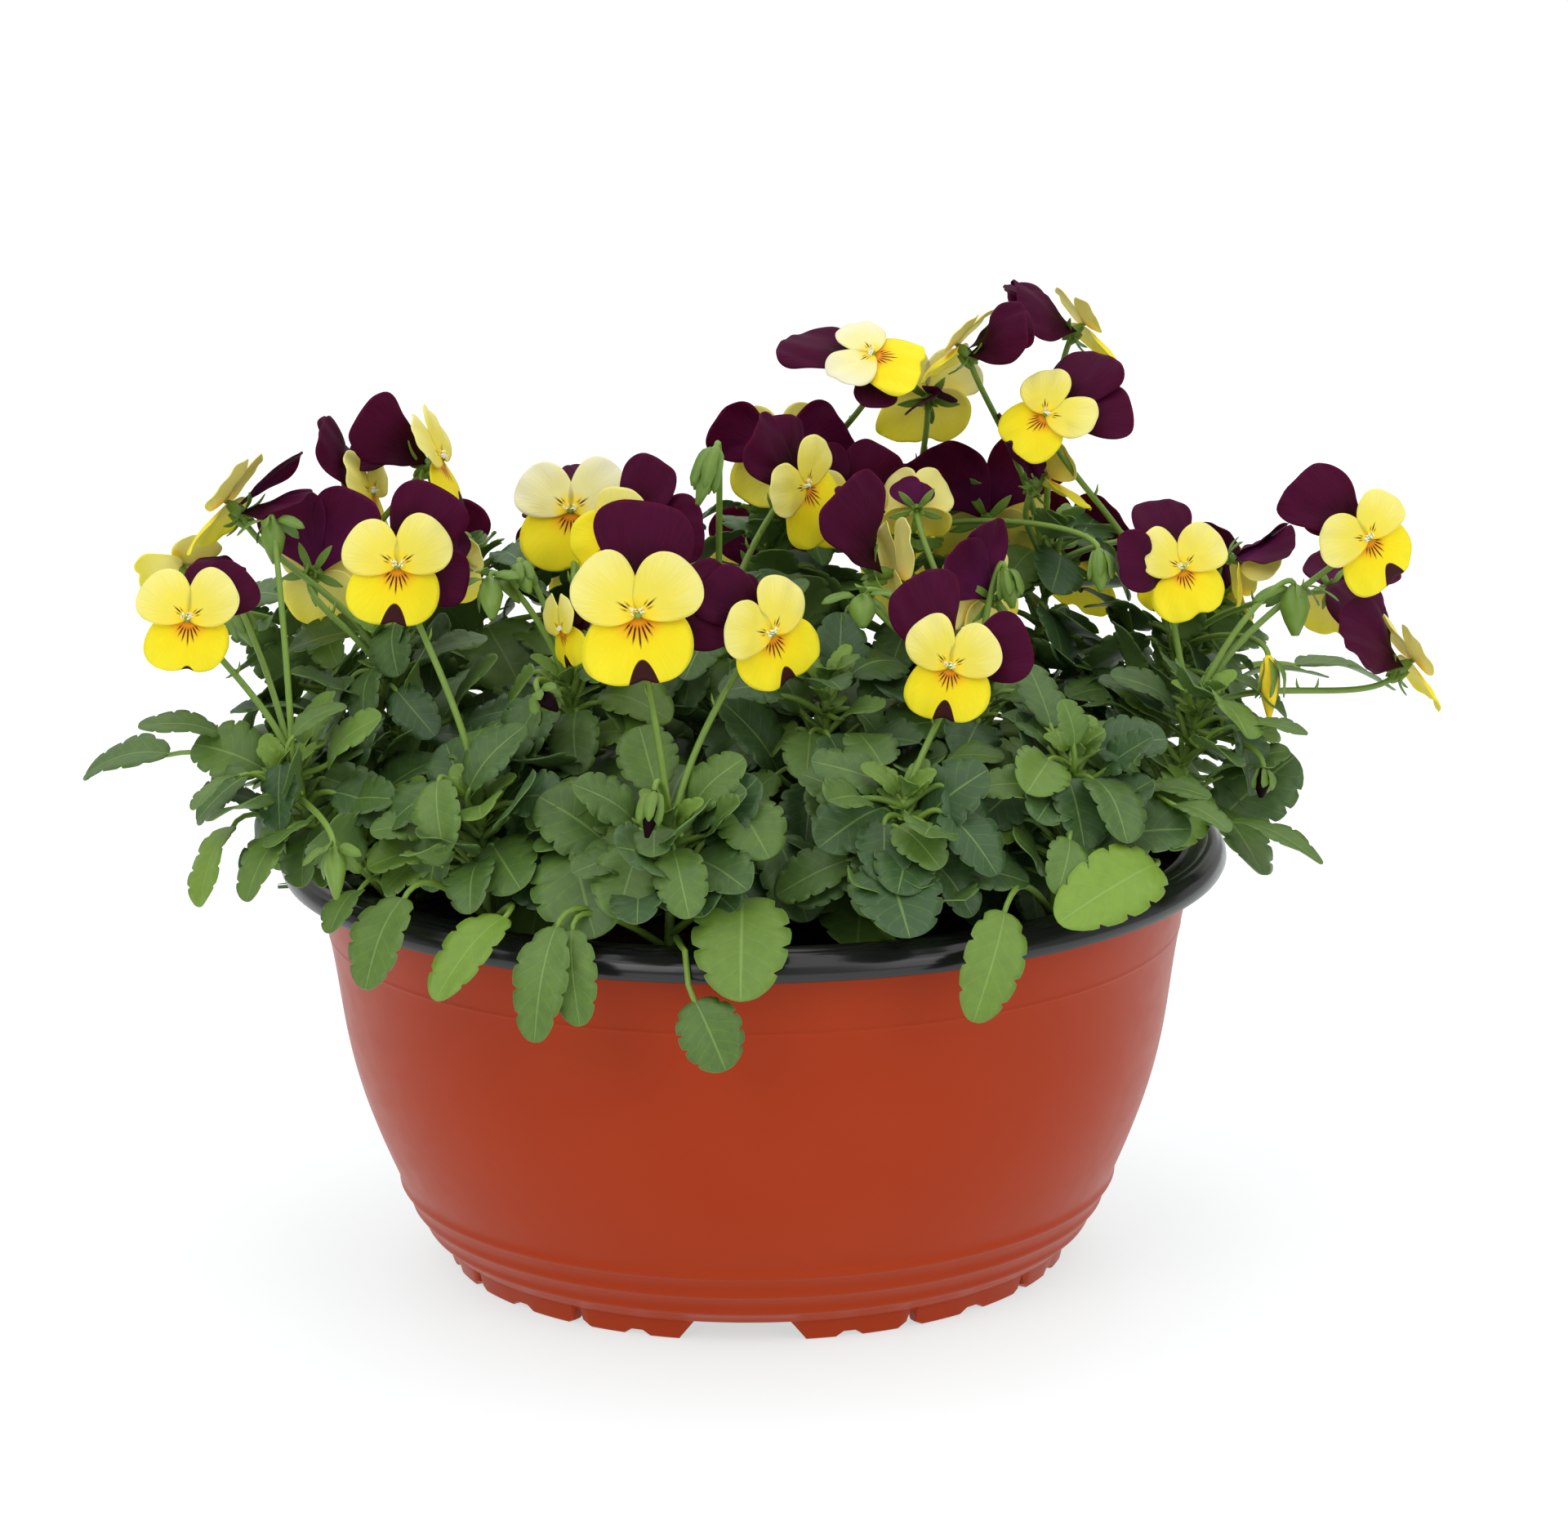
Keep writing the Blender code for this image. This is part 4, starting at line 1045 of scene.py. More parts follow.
class Bloom:
    """One pansy: petals with beard and stigma, calyx, spur and stalk."""

    thickness = 0.28
    sepals = 5
    hairs = 9
    hair_radii = np.array([0.2, 0.17, 0.08])
    # Each tapering body is a row of (place behind the throat, height over it, radius).
    stigma = (
        (-0.6, -0.1, 0.3), (-1.0, -0.1, 0.7), (-1.6, -0.1, 0.85), (-2.1, -0.1, 0.55), (-2.35, -0.1, 0.15),
    )
    receptacle = ((-0.8, 0, 0.8), (0.6, 0, 1.5), (2.4, 0, 2.1), (4.2, 0, 2.0), (5.6, 0, 1.3), (6.4, 0, 0.6))
    spur = ((2.0, -1.8, 1.2), (5.0, -2.6, 1.3), (7.6, -2.4, 1.0), (8.6, -2.2, 0.4))
    stalk_radii = (0.85, 1.05)
    stalk_start = np.array([0, 5.2, -0.6])
    bract_places = ((0.42, 1), (0.44, -1))
    bract_radii = np.array([0.5, 0.4, 0.1])

    def __init__(self, number: int, spot: Spot, foot: np.ndarray) -> None:
        """Keep the bloom's place.

        Args:
            number: Its number among the blooms.
            spot: Where it sits and how it looks.
            foot: Where its stalk leaves the shoot.
        """
        self.node = f"flower_{number:02d}"
        self.spot = spot
        self.foot = foot
        self.rng = random.Random(900 + number)
        self.matrix = np.array(spot.matrix())

    def moved(self, points: np.ndarray) -> np.ndarray:
        """Take points from the bloom's space to the planter's."""
        return points @ self.matrix[:3, :3].T + self.matrix[:3, 3]

    def add_blade(self, mesh: Mesh, base: np.ndarray, tip: np.ndarray, width: float, slot: int) -> None:
        """Add a narrow pointed blade in the bloom's space, such as a sepal."""
        ahead = tip - base
        side = unit(np.cross(ahead, (0.0, 1.0, 0.0)) + (1e-6, 0, 0))
        over = unit(np.cross(side, ahead))
        rows = np.linspace(0, 1, 9)
        width_at = width / 2 * (0.25 + 1.6 * rows) * (1 - rows**1.6) + 0.08
        grid = np.zeros((9, 5, 3))
        for c, t in enumerate(np.linspace(-1, 1, 5)):
            bow = over * (np.sin(rows * math.pi) * 0.8 + 0.25 * t * t)[:, None]
            grid[:, c] = base + ahead * rows[:, None] + side * (width_at * t)[:, None] + bow
        marks = np.stack(np.meshgrid(np.linspace(-1, 1, 5), rows), -1)
        mesh.add_sheet(self.moved(grid), marks, 0.4, slot, self.rng.uniform(0.3, 0.7))

    def add_body(self, mesh: Mesh, body: tuple, sides: int, slot: int, shade: float) -> None:
        """Add a round tapering body on the bloom's middle plane."""
        path = np.array([(0, back, height) for back, height, _ in body])
        radii = np.array([radius for _, _, radius in body]) * self.spot.size
        mesh.add_tube(self.moved(path), radii, sides, slot, shade)

    def head(self) -> Mesh:
        """The petals with the beard and the stigma."""
        mesh = Mesh()
        shapes = list(PETALS)
        for i, (turn, lean, scale, *twist) in enumerate(self.spot.uppers):
            shapes[i] = replace(shapes[i], turn=turn, lean=lean + 6, scale=scale, twist=sum(twist))
        for shape in shapes:
            grid, marks = Petal(shape, self.rng, self.spot.look.fold).sheet()
            mesh.add_sheet(self.moved(grid), marks, self.thickness, shape.slot, self.spot.look.blotch)
        # White hairs stand at the foot of each side petal, and the green stigma sits between them.
        for side in (-1, 1):
            for _ in range(self.hairs):
                root = np.array([side * self.rng.uniform(0.5, 2.1), -1.7, self.rng.uniform(0.2, 1.9)])
                end = root + np.array([side * -0.5, -self.rng.uniform(0.7, 1.5), self.rng.uniform(-0.7, 0.1)])
                hair = self.moved(np.array([root, (root + end) / 2, end]))
                mesh.add_tube(hair, self.hair_radii, 5, 3, 0.5)
        self.add_body(mesh, self.stigma, 10, 4, 0.9)
        return mesh

    def calyx(self) -> Mesh:
        """The sepals, the spur and the receptacle behind the petals, and the stalk with its bracts."""
        mesh = Mesh()
        self.add_body(mesh, self.receptacle, 12, 0, 0.45)
        for i in range(self.sepals):
            angle = math.radians(360 * i / self.sepals + 36 + self.rng.uniform(-9, 9))
            out = np.array([math.sin(angle), 0, math.cos(angle)])
            base = out * 1.2 + (0, 4.6, 0)
            tip = out * self.rng.uniform(8.5, 11) + (0, self.rng.uniform(3.4, 6.0), 0)
            self.add_blade(mesh, base, tip, 3.4, 0)
            self.add_blade(mesh, base, out * 3.0 + (0, 8.4, 0), 2.4, 0)
        self.add_body(mesh, self.spur, 8, 0, 0.6)
        path = self.stalk_path()
        radii = np.linspace(*self.stalk_radii, len(path)) * (0.85 + 0.15 * self.spot.size)
        mesh.add_tube(path, radii, 9, 0, 0.55)
        for share, side in self.bract_places:
            at = path[int(share * (len(path) - 1))]
            root = at + np.array([side * 0.6, 0, 0])
            bract = np.array([root, root + (side * 0.7, 0, 1.8), root + (side * 0.9, 0, 3.6)])
            mesh.add_tube(bract, self.bract_radii, 5, 0, 0.7)
        return mesh

    def stalk_path(self) -> np.ndarray:
        """The stalk's centre line: out behind the calyx, hooking over and down to its foot."""
        start = self.moved(self.stalk_start[None])[0]
        away = unit(self.matrix[:3, :3] @ np.array([0, 0.85, -0.5]))
        reach = np.linalg.norm(self.foot - start) * 0.4
        return bezier([start, start + away * min(reach, 15), self.foot + UP * reach, self.foot], 26)

    def build(self, palette: Palette) -> None:
        """Build and place the bloom's two pieces."""
        head = self.head().finish(f"{self.node}_petals", palette.petals(self.spot.look.cream))
        place(head, "petal_bicolour", self.node)
        green = self.calyx().finish(f"{self.node}_calyx_and_stalk", [palette.stem])
        place(green, "leaf_green", self.node)


SPOTS = (
    Spot((-152, -70, 201), -8, 12, -4, 0.88, Look.NEAT, ((40, 10, 0.85), (14, 25, 0.8))),
    Spot((-160, -6, 202), -165, 42, 75, 0.8, Look.PLAIN, ((20, 10, 0.8), (-16, 6, 0.8))),
    Spot((-144, -30, 225), -107, 36, 0, 0.98, Look.PLAIN, ((22, 36, 0.85), (-25, 6, 0.9))),
    Spot((-120, -24, 204), 160, -10, 0, 0.95, Look.NODDING),
    Spot((-108, 8, 220), 75, 15, 0, 0.9),
    Spot((-95, -75, 216), 4, 8, -3, 0.93, uppers=((30, 2, 1.0), (104, 6, 0.8))),
    Spot((-88, 6, 230), 84, 24, 0, 0.95, Look.FRESH, ((20, 34, 0.9, -50), (-24, 22, 1.0, -62))),
    Spot((-80, -42, 210), 150, 0, 0, 0.62, Look.REFLEXED),
    Spot((-50, -14, 219), -5, 15, 0, 1.0, Look.CREAM, ((26, 50, 1.0), (-26, 54, 1.0))),
    Spot((-36, -45, 217), -30, 10, -55, 0.86, Look.PLAIN),
    Spot((-30, -104, 208), 3, 12, 2, 1.1, uppers=((92, 8, 0.95), (13, 0, 1.05))),
    Spot((-51, -66, 196), -62, 0, 14, 0.62, Look.FRESH, ((62, 10, 0.5), (40, 10, 0.5))),
    Spot((5, -93, 200), 34, 8, 20, 0.9, Look.FRESH, ((4, 20, 0.7), (-15, 0, 0.88))),
    Spot((9, 34, 226), 172, 5, 0, 0.98, uppers=((62, 18, 0.85), (-64, 16, 1.0))),
    Spot((15, -20, 226), 52, 8, 32, 0.88, Look.PLAIN, ((42, 10, 0.85), (-12, 0, 1.0))),
    Spot((27, 8, 215), 5, -5, 0, 0.72, Look.PLAIN),
    Spot((39, -38, 205), 106, 0, -12, 1.0, Look.PLAIN, ((24, 0, 0.9, -30), (-30, 32, 1.15, -55))),
    Spot((47, 0, 216), 180, 0, 0, 0.8, Look.WILTING, ((24, 4, 0.5), (-24, -10, 0.45))),
    Spot((35, 8, 258), 12, 58, 70, 0.88, Look.CREAM, ((22, 0, 1.15), (-100, 5, 0.62))),
    Spot((52, 56, 240), 180, 20, 0, 1.0, Look.CREAM, ((30, 60, 0.55), (-35, 50, 0.5))),
    Spot((60, 24, 258), -107, 42, 0, 0.85, Look.PLAIN, ((22, 16, 1.05, 55), (-20, 8, 0.95, 40))),
    Spot((96, 40, 261), 108, 34, 0, 0.78, Look.PLAIN, ((18, 16, 1.15, -30), (-20, 22, 1.2, -35))),
    Spot((84, 4, 241), -28, 40, -38, 0.84, Look.NEAT, ((18, 0, 1.0), (-28, 0, 1.1))),
    Spot((84, 24, 220), 110, 35, 0, 0.85, Look.NODDING),
    Spot((70, 64, 202), 175, 10, 0, 1.1),
    Spot((64, -34, 197), -140, -4, -28, 0.86, Look.PLAIN, ((12, 10, 1.0), (-12, 4, 1.0))),
    Spot((53, -95, 191), -18, 10, -8, 0.82, uppers=((62, 2, 1.0), (-48, 0, 1.2))),
    Spot((119, -36, 205), 24, 15, 10, 0.82, Look.PLAIN, ((8, 24, 1.0), (-72, -14, 1.0))),
    Spot((116, 2, 195), -40, 5, 0, 0.6),
    Spot((138, 2, 199), 95, -35, 0, 0.7, Look.WILTING),
    Spot((172, -22, 210), 22, 10, 32, 0.84, Look.FRESH, ((-12, 20, 0.8), (-1, 0, 1.1))),
    Spot((186, -10, 172), 100, 28, 0, 0.9, Look.PLAIN, ((25, -6, 1.25, -40), (-25, 8, 1.25, -35))),
    Spot((167, 14, 187), 150, -35, 0, 0.74, Look.WILTING),
    Spot((-96, 66, 186), -150, 12, 6, 0.95),
    Spot((-50, 92, 182), -170, 15, -10, 1.0, Look.CREAM),
    Spot((2, 102, 178), 178, 12, 5, 0.95),
    Spot((46, 106, 186), 165, 14, -8, 1.05),
    Spot((98, 84, 184), 145, 12, 12, 0.95, Look.NEAT),
    Spot((140, 48, 182), 118, 10, 0, 0.9),
)


# ---------------------------------------------------------------- shoots and leaves


@dataclass
class Leaf:
    """A leaf: where its blade starts and ends, its width, its shade and its form."""

    base: np.ndarray
    tip: np.ndarray
    width: float
    shade: float
    arch: float = 0.1
    fold: float = 0.2
    teeth: int = 4
    columns: int = 7
    # The share of the blade next to its petiole that has no lobes.
    plain: float = 0.16
    thickness: float = 0.36

    def lobe_rows(self) -> np.ndarray:
        """Places along the blade for its cross rows: close together at each notch and at both ends."""
        if not self.teeth:
            return np.linspace(0, 1, 8)
        steps = [k + s for k in range(self.teeth) for s in (0, 0.12, 0.33, 0.6, 0.85)]
        lobes = [self.plain + (1 - self.plain) * step / self.teeth for step in steps]
        return np.array([0.0, 0.01, 0.04, 0.09, *lobes, 0.982, 0.995, 1.0])

    def add_to(self, mesh: Mesh, slot: int, rng: random.Random) -> None:
        """Add the blade to a mesh.

        Args:
            mesh: The shoot's leaves.
            slot: The material's number.
            rng: The shoot's random numbers.
        """
        ahead = self.tip - self.base
        length = float(np.linalg.norm(ahead))
        outward = np.array([self.base[0], self.base[1], 0.0]) / 130
        hint = unit(UP * 0.8 + outward * 0.7)
        side = unit(np.cross(ahead, hint))
        over = unit(np.cross(side, ahead))
        rows = self.lobe_rows()
        count = len(rows)
        arch = self.arch * length * np.sin(math.pi * rows**0.8)
        middle = self.base + ahead * rows[:, None] + over * arch[:, None]
        # The blade is broadest before its middle and blunt at its tip; narrow notches part its round lobes.
        broad = np.abs(np.sin(math.pi * rows**0.9)) ** 0.42
        lobe = (rows - self.plain) / (1 - self.plain) * self.teeth
        notch = (1 - np.abs(np.sin(math.pi * lobe))) ** 4 * (rows > 0.1) * (rows < 0.99)
        half = self.width / 2 * broad * (1.08 - 0.2 * notch * (self.teeth > 0)) + 0.22
        phase = [rng.uniform(0, 2 * math.pi) for _ in range(2)]
        wave = rng.uniform(0.3, 0.9)
        grid = np.zeros((count, self.columns, 3))
        places = np.linspace(-1, 1, self.columns)
        for c, t in enumerate(places):
            lift = self.fold * abs(t) * half - 0.06 * half * t * t
            ripple = wave * t * t * np.sin(rows * 9 + phase[0] + (2 if t > 0 else 0) + phase[1] * t)
            raised = lift + ripple * np.minimum(half / 6, 1)
            grid[:, c] = middle + side * (half * t)[:, None] + over * raised[:, None]
        marks = np.stack(np.meshgrid(places, rows), -1)
        grid = drape(grid.reshape(-1, 3)).reshape(grid.shape)
        mesh.add_sheet(grid, marks, self.thickness, slot, self.shade)


def slope(out: np.ndarray, degrees: float) -> np.ndarray:
    """A unit step along a level direction, tilted up by an angle."""
    return out * math.cos(math.radians(degrees)) + UP * math.sin(math.radians(degrees))


def clears_rim(points: np.ndarray, least: float = 127.0) -> bool:
    """Whether points keep over or outside the bowl's rim."""
    reach = np.hypot(points[:, 0], points[:, 1])
    return not ((reach > 108) & (reach < 142) & (points[:, 2] < least)).any()


class BudKind(Enum):
    """A bud or a spent flower head: what shows between its sepals, and how far the sepals spread."""

    CLOSED = (0, 0.3)
    PURPLE = (1, 0.3)
    YELLOW = (2, 0.5)
    STAR = (0, 1.5)
    SHRIVELLED = (1, 0.9)

    def __init__(self, slot: int, spread: float) -> None:
        """Keep its tip's material number and how far its sepals spread."""
        self.slot, self.spread = slot, spread


@dataclass
class BudSpot:
    """A bud or a spent flower head: its shoot, its stalk's top, its far end, its width and its kind."""

    shoot: int
    top: tuple[float, float, float]
    end: tuple[float, float, float]
    width: float
    kind: BudKind = BudKind.CLOSED


SHOOT_PLACES = (
    ((-23, -107), (-22, -106, 150)),
    ((-72, -88), (-73, -86, 152)),
    ((36, -104), (40, -100, 156)),
    ((80, -80), (86, -80, 162)),
    ((-96, -62), (-126, -70, 158)),
    ((-94, -28), (-102, -34, 186)),
    ((-52, -50), (-50, -56, 178)),
    ((-12, -28), (-9, -32, 190)),
    ((19, -58), (20, -60, 178)),
    ((58, -38), (62, -44, 172)),
    ((106, -30), (124, -34, 166)),
    ((-74, 42), (-80, 44, 192)),
    ((-36, 62), (-36, 60, 196)),
    ((4, 58), (6, 54, 202)),
    ((42, 72), (48, 70, 202)),
    ((74, 56), (88, 56, 196)),
    ((98, 34), (126, 32, 172)),
    ((-104, 16), (-126, 14, 184)),
)

# Leaves placed one by one: shoot, blade's base and tip, width, and shade from old (0) to young (1).
LEAF_PLACES = (
    (5, (-164, -22, 152), (-190, -4, 142), 13, 0.25),
    (5, (-146, -58, 166), (-168, -60, 169), 10, 0.25),
    (5, (-143, -62, 141), (-151, -76, 122), 14, 0.85),
    (5, (-126, -90, 146), (-136, -101, 130), 14, 0.45),
    (5, (-139, -82, 160), (-150, -95, 154), 8, 0.35),
    (5, (-106, -98, 132), (-113, -112, 124), 10, 0.35),
    (2, (-93, -114, 134), (-103, -125, 112), 17, 0.4),
    (2, (-66, -120, 130), (-84, -136, 112), 14, 0.8),
    (1, (-52, -130, 130), (-58, -142, 102), 14, 0.4),
    (1, (-48, -130, 129), (-46, -141, 106), 12, 0.4),
    (1, (-16, -139, 112), (-8, -146, 95), 16, 0.3),
    (1, (-3, -118, 134), (-4, -144, 113), 24, 0.6),
    (4, (66, -120, 130), (57, -138, 105), 15, 0.65),
    (4, (108, -96, 136), (80, -124, 128), 19, 0.95),
    (11, (130, -62, 139), (155, -74, 130), 11, 0.3),
    (11, (131, -36, 146), (150, -32, 152), 10, 0.3),
    (11, (133, -46, 162), (153, -51, 161), 9, 0.3),
    (1, (-48, -106, 146), (-42, -127, 126), 25, 0.3),
    (7, (-40, -92, 158), (-60, -104, 150), 14, 0.3),
    (2, (-42, -98, 147), (-58, -112, 146), 9, 0.3),
    (1, (-21, -124, 149), (-17, -138, 134), 13, 0.35),
    (1, (-5, -104, 156), (4, -119, 145), 17, 0.35),
    (9, (6, -93, 144), (14, -106, 124), 17, 0.15),
    (3, (38, -114, 152), (49, -124, 143), 13, 0.35),
    (9, (20, -80, 159), (27, -92, 138), 16, 0.15),
    (4, (77, -94, 157), (60, -100, 159), 11, 0.35),
    (4, (84, -106, 146), (80, -118, 134), 11, 0.4),
    (3, (30, -116, 132), (42, -128, 130), 10, 0.4),
    (2, (-76, -92, 158), (-61, -86, 174), 15, 0.15),
    (2, (-84, -98, 162), (-82, -110, 145), 13, 0.4),
    (2, (-88, -90, 146), (-103, -93, 147), 11, 0.35),
    (5, (-124, -78, 170), (-110, -72, 177), 9, 0.3),
    (10, (52, -74, 160), (68, -80, 162), 10, 0.35),
    (4, (86, -90, 168), (83, -88, 180), 11, 0.4),
    (11, (106, -70, 150), (124, -78, 150), 11, 0.3),
    (11, (114, -82, 149), (128, -92, 144), 11, 0.35),
    (18, (-122, -2, 158), (-148, -6, 160), 19, 0.1),
    (16, (94, 48, 200), (113, 46, 196), 9, 0.3),
    (12, (-58, 22, 184), (-76, 18, 192), 12, 0.3),
    (17, (138, -12, 168), (162, -20, 170), 10, 0.35),
    (17, (160, 50, 158), (190, 60, 148), 16, 0.3),
    (15, (46, 112, 146), (52, 147, 132), 18, 0.4),
    (13, (-44, 110, 142), (-52, 146, 126), 18, 0.35),
)

BUD_SPOTS = (
    BudSpot(8, (-9, -70, 246), (-14, -76, 232), 6),
    BudSpot(5, (-143, -30, 196), (-138, -36, 186), 6),
    BudSpot(11, (152, -20, 196), (152, -24, 183), 9, BudKind.STAR),
    BudSpot(17, (144, -30, 178), (144, -34, 162), 6, BudKind.YELLOW),
    BudSpot(11, (141, -50, 151), (140, -54, 144), 5, BudKind.PURPLE),
    BudSpot(1, (-26, -122, 164), (-28, -130, 154), 5, BudKind.PURPLE),
    BudSpot(5, (-131, -45, 223), (-130, -50, 212), 7, BudKind.STAR),
    BudSpot(7, (-71, -60, 209), (-70, -70, 200), 7, BudKind.STAR),
    BudSpot(7, (-63, -56, 212), (-60, -64, 206), 5),
    BudSpot(10, (30, -70, 205), (30, -76, 198), 8, BudKind.STAR),
    BudSpot(10, (70, -40, 206), (72, -44, 196), 6),
    BudSpot(5, (-111, -115, 148), (-110, -125, 137), 6, BudKind.STAR),
    BudSpot(7, (-57, -90, 184), (-52, -94, 180), 5, BudKind.SHRIVELLED),
    BudSpot(15, (96, -40, 211), (96, -46, 201), 6),
    BudSpot(13, (-40, 96, 190), (-42, 104, 182), 6),
    BudSpot(16, (118, 66, 190), (124, 72, 180), 7, BudKind.STAR),
    BudSpot(14, (24, 84, 196), (24, 92, 186), 6),
)


class Shoot:
    """A leafy shoot: an upright stem with petioles, blades, lobed stipules and buds."""

    nodes = 12
    leaves_per_node = 4
    # No leaf placed by rule reaches past these distances from the axis and this height.
    limits = (186.0, 144.0, 216.0)
    stem_points = 40
    stem_radii = (1.6, 1.1)
    petiole_mm = (12, 24)
    blade_mm = (20, 30)
    blade_shares = (0.58, 0.86)
    droops = (-45, -35, -20, 5, 25, 45)
    shades = (0.0, 0.05, 0.1, 0.15, 0.2, 0.25, 0.35, 0.55)
    # A stipule's lobes: the turn from its middle one, and the length.
    stipule_lobes = ((0, 9.0), (26, 6.0), (-26, 5.0))
    crown_leaves = 6
    bud_shape = ((-0.05, 0.3), (0.15, 0.8), (0.4, 1.0), (0.7, 0.7), (1.0, 0.25))
    bud_sepals = 5

    def __init__(self, number: int, base: tuple, tip: tuple, soil: Soil) -> None:
        """Lay out the stem.

        Args:
            number: The shoot's number.
            base: Where it leaves the soil.
            tip: Its growing tip.
            soil: The soil it grows in.
        """
        self.number = number
        self.node = f"shoot_{number:02d}"
        foot = np.array([*base, soil.height(math.hypot(*base)) - 1.5])
        top = np.array(tip, float)
        reach = UP * (top[2] - foot[2]) / 3
        self.path = bezier([foot, foot + reach, top - reach, top], self.stem_points)
        self.rng = random.Random(40 + number)
        self.green = Mesh()
        self.blades = Mesh()

    def at(self, share: float) -> np.ndarray:
        """The stem's centre a share of the way up."""
        last = self.stem_points - 1
        return self.path[min(int(share * last), last)]

    def add_leaf(self, start: np.ndarray, leaf: Leaf) -> None:
        """Add a leaf and the petiole that carries it.

        Args:
            start: Where the petiole leaves the stem.
            leaf: The leaf.
        """
        gap = float(np.linalg.norm(leaf.base - start))
        toward = unit(leaf.tip - leaf.base)
        rise = unit((leaf.base - start) * (1, 1, 0.2) + (0, 0, 1e-3))
        early, late = start + (rise + UP * 0.7) * gap * 0.35, leaf.base - toward * gap * 0.3
        path = drape(bezier([start, early, late, leaf.base + toward * 1.2], 12), 1.2)
        thick = min(0.9, 0.45 + leaf.width * 0.03)
        self.green.add_tube(path, np.linspace(thick * 1.3, thick * 0.8, 12), 7, 0, self.rng.uniform(0.4, 0.8))
        leaf.add_to(self.blades, 0, self.rng)

    def add_stipules(self, at: np.ndarray, azimuth: float) -> None:
        """Add a pair of narrow-lobed stipules at a node."""
        for side in (-1, 1):
            for lobe, length in self.stipule_lobes:
                turn = math.radians(azimuth + side * 62 + lobe)
                out = heading(turn, self.rng.uniform(0.3, 0.9))
                tip = at + unit(out) * length * self.rng.uniform(0.8, 1.2)
                shade = self.rng.uniform(0.4, 0.8)
                if not clears_rim(np.array([at, tip])):
                    continue
                Leaf(at, tip, 2.2, shade, 0.05, 0.3, 0, 3).add_to(self.blades, 0, self.rng)

    def add_fill(self) -> None:
        """Clothe the stem with leaves by rule: outer ones droop outwards, inner ones stand up."""
        azimuth = self.rng.uniform(0, 360)
        for k in range(self.nodes):
            share = (k + 0.6) / self.nodes
            at = self.at(share)
            for _ in range(self.leaves_per_node):
                azimuth += GOLDEN_ANGLE
                turn = math.radians(azimuth)
                out = heading(turn)
                radial = unit(np.array([at[0], at[1], 0.0]))
                outer = float(out.dot(radial))
                petiole = self.rng.uniform(*self.petiole_mm) * (1.1 - 0.5 * share)
                blade = self.rng.uniform(*self.blade_mm) * (1.05 - 0.3 * share)
                width = blade * self.rng.uniform(*self.blade_shares)
                rise = self.rng.uniform(15, 55) - 12 * outer
                droop = self.rng.choice(self.droops) + self.rng.uniform(-12, 12) - 15 * outer
                ahead = heading(turn + math.radians(self.rng.uniform(-35, 35)))
                shade = self.rng.choice(self.shades)
                arch, fold = self.rng.uniform(0.03, 0.14), self.rng.uniform(0.1, 0.35)
                for more in range(0, 90, 15):
                    base = at + petiole * slope(out, rise + more)
                    tip = base + blade * slope(ahead, droop + more)
                    stalk, spine = np.linspace(at + UP * 2, base, 5), np.linspace(base, tip, 6)
                    if clears_rim(stalk) and clears_rim(spine):
                        break
                else:
                    continue
                if (np.abs(tip[:2]) < self.limits[:2]).all() and tip[2] < self.limits[2]:
                    self.add_leaf(at, Leaf(base, tip, width, shade, arch, fold))
            self.add_stipules(at, azimuth)

    def add_crown(self) -> None:
        """Close the tip with a few small young leaves."""
        for i in range(self.crown_leaves):
            out = heading(math.radians(i * GOLDEN_ANGLE), 1.0)
            base = self.at(1.0) + out * (2, 2, 1.5)
            tip = base + out * self.rng.uniform(7, 12) * (0.8, 0.8, 0.7)
            Leaf(base, tip, self.rng.uniform(4, 6.5), self.rng.uniform(0.5, 0.9), 0.1, 0.35, 3, 5).add_to(
                self.blades, 0, self.rng
            )

    def add_bud(self, spot: BudSpot) -> None:
        """Add a nodding bud or a spent head on its stalk, with its sepals."""
        top, end = np.array(spot.top, float), np.array(spot.end, float)
        start = self.at(0.9)
        reach = UP * (top[2] - start[2]) * 0.5
        hook = unit(end - top)
        path = bezier([start, start + reach, top - hook * 6 + UP * 4, top], 20)
        self.green.add_tube(path, np.linspace(1.0, 0.8, 20), 8, 0, 0.6)
        body = np.array([top + (end - top) * place for place, _ in self.bud_shape])
        radii = np.array([radius for _, radius in self.bud_shape]) * spot.width / 2
        self.green.add_tube(body, radii, 10, spot.kind.slot, 0.5)
        across = unit(np.cross(hook, (0.3, 0.9, 0.1)))
        for i in range(self.bud_sepals):
            turn = 2 * math.pi * i / self.bud_sepals
            out = across * math.cos(turn) + np.cross(hook, across) * math.sin(turn)
            base = top + out * spot.width * 0.25
            spread = spot.kind.spread
            tip = top + (end - top) * (0.85 - spread * 0.35) + out * spot.width * (0.35 + spread * 0.7)
            Leaf(base, tip, 2.6, 0.6, 0.12, 0.2, 0, 3).add_to(self.blades, 0, self.rng)

    def build(self, palette: Palette) -> None:
        """Build the shoot and place its two pieces."""
        self.green.add_tube(self.path, np.linspace(*self.stem_radii, self.stem_points), 8, 0, 0.5)
        for number, base, tip, width, shade in LEAF_PLACES:
            if number == self.number:
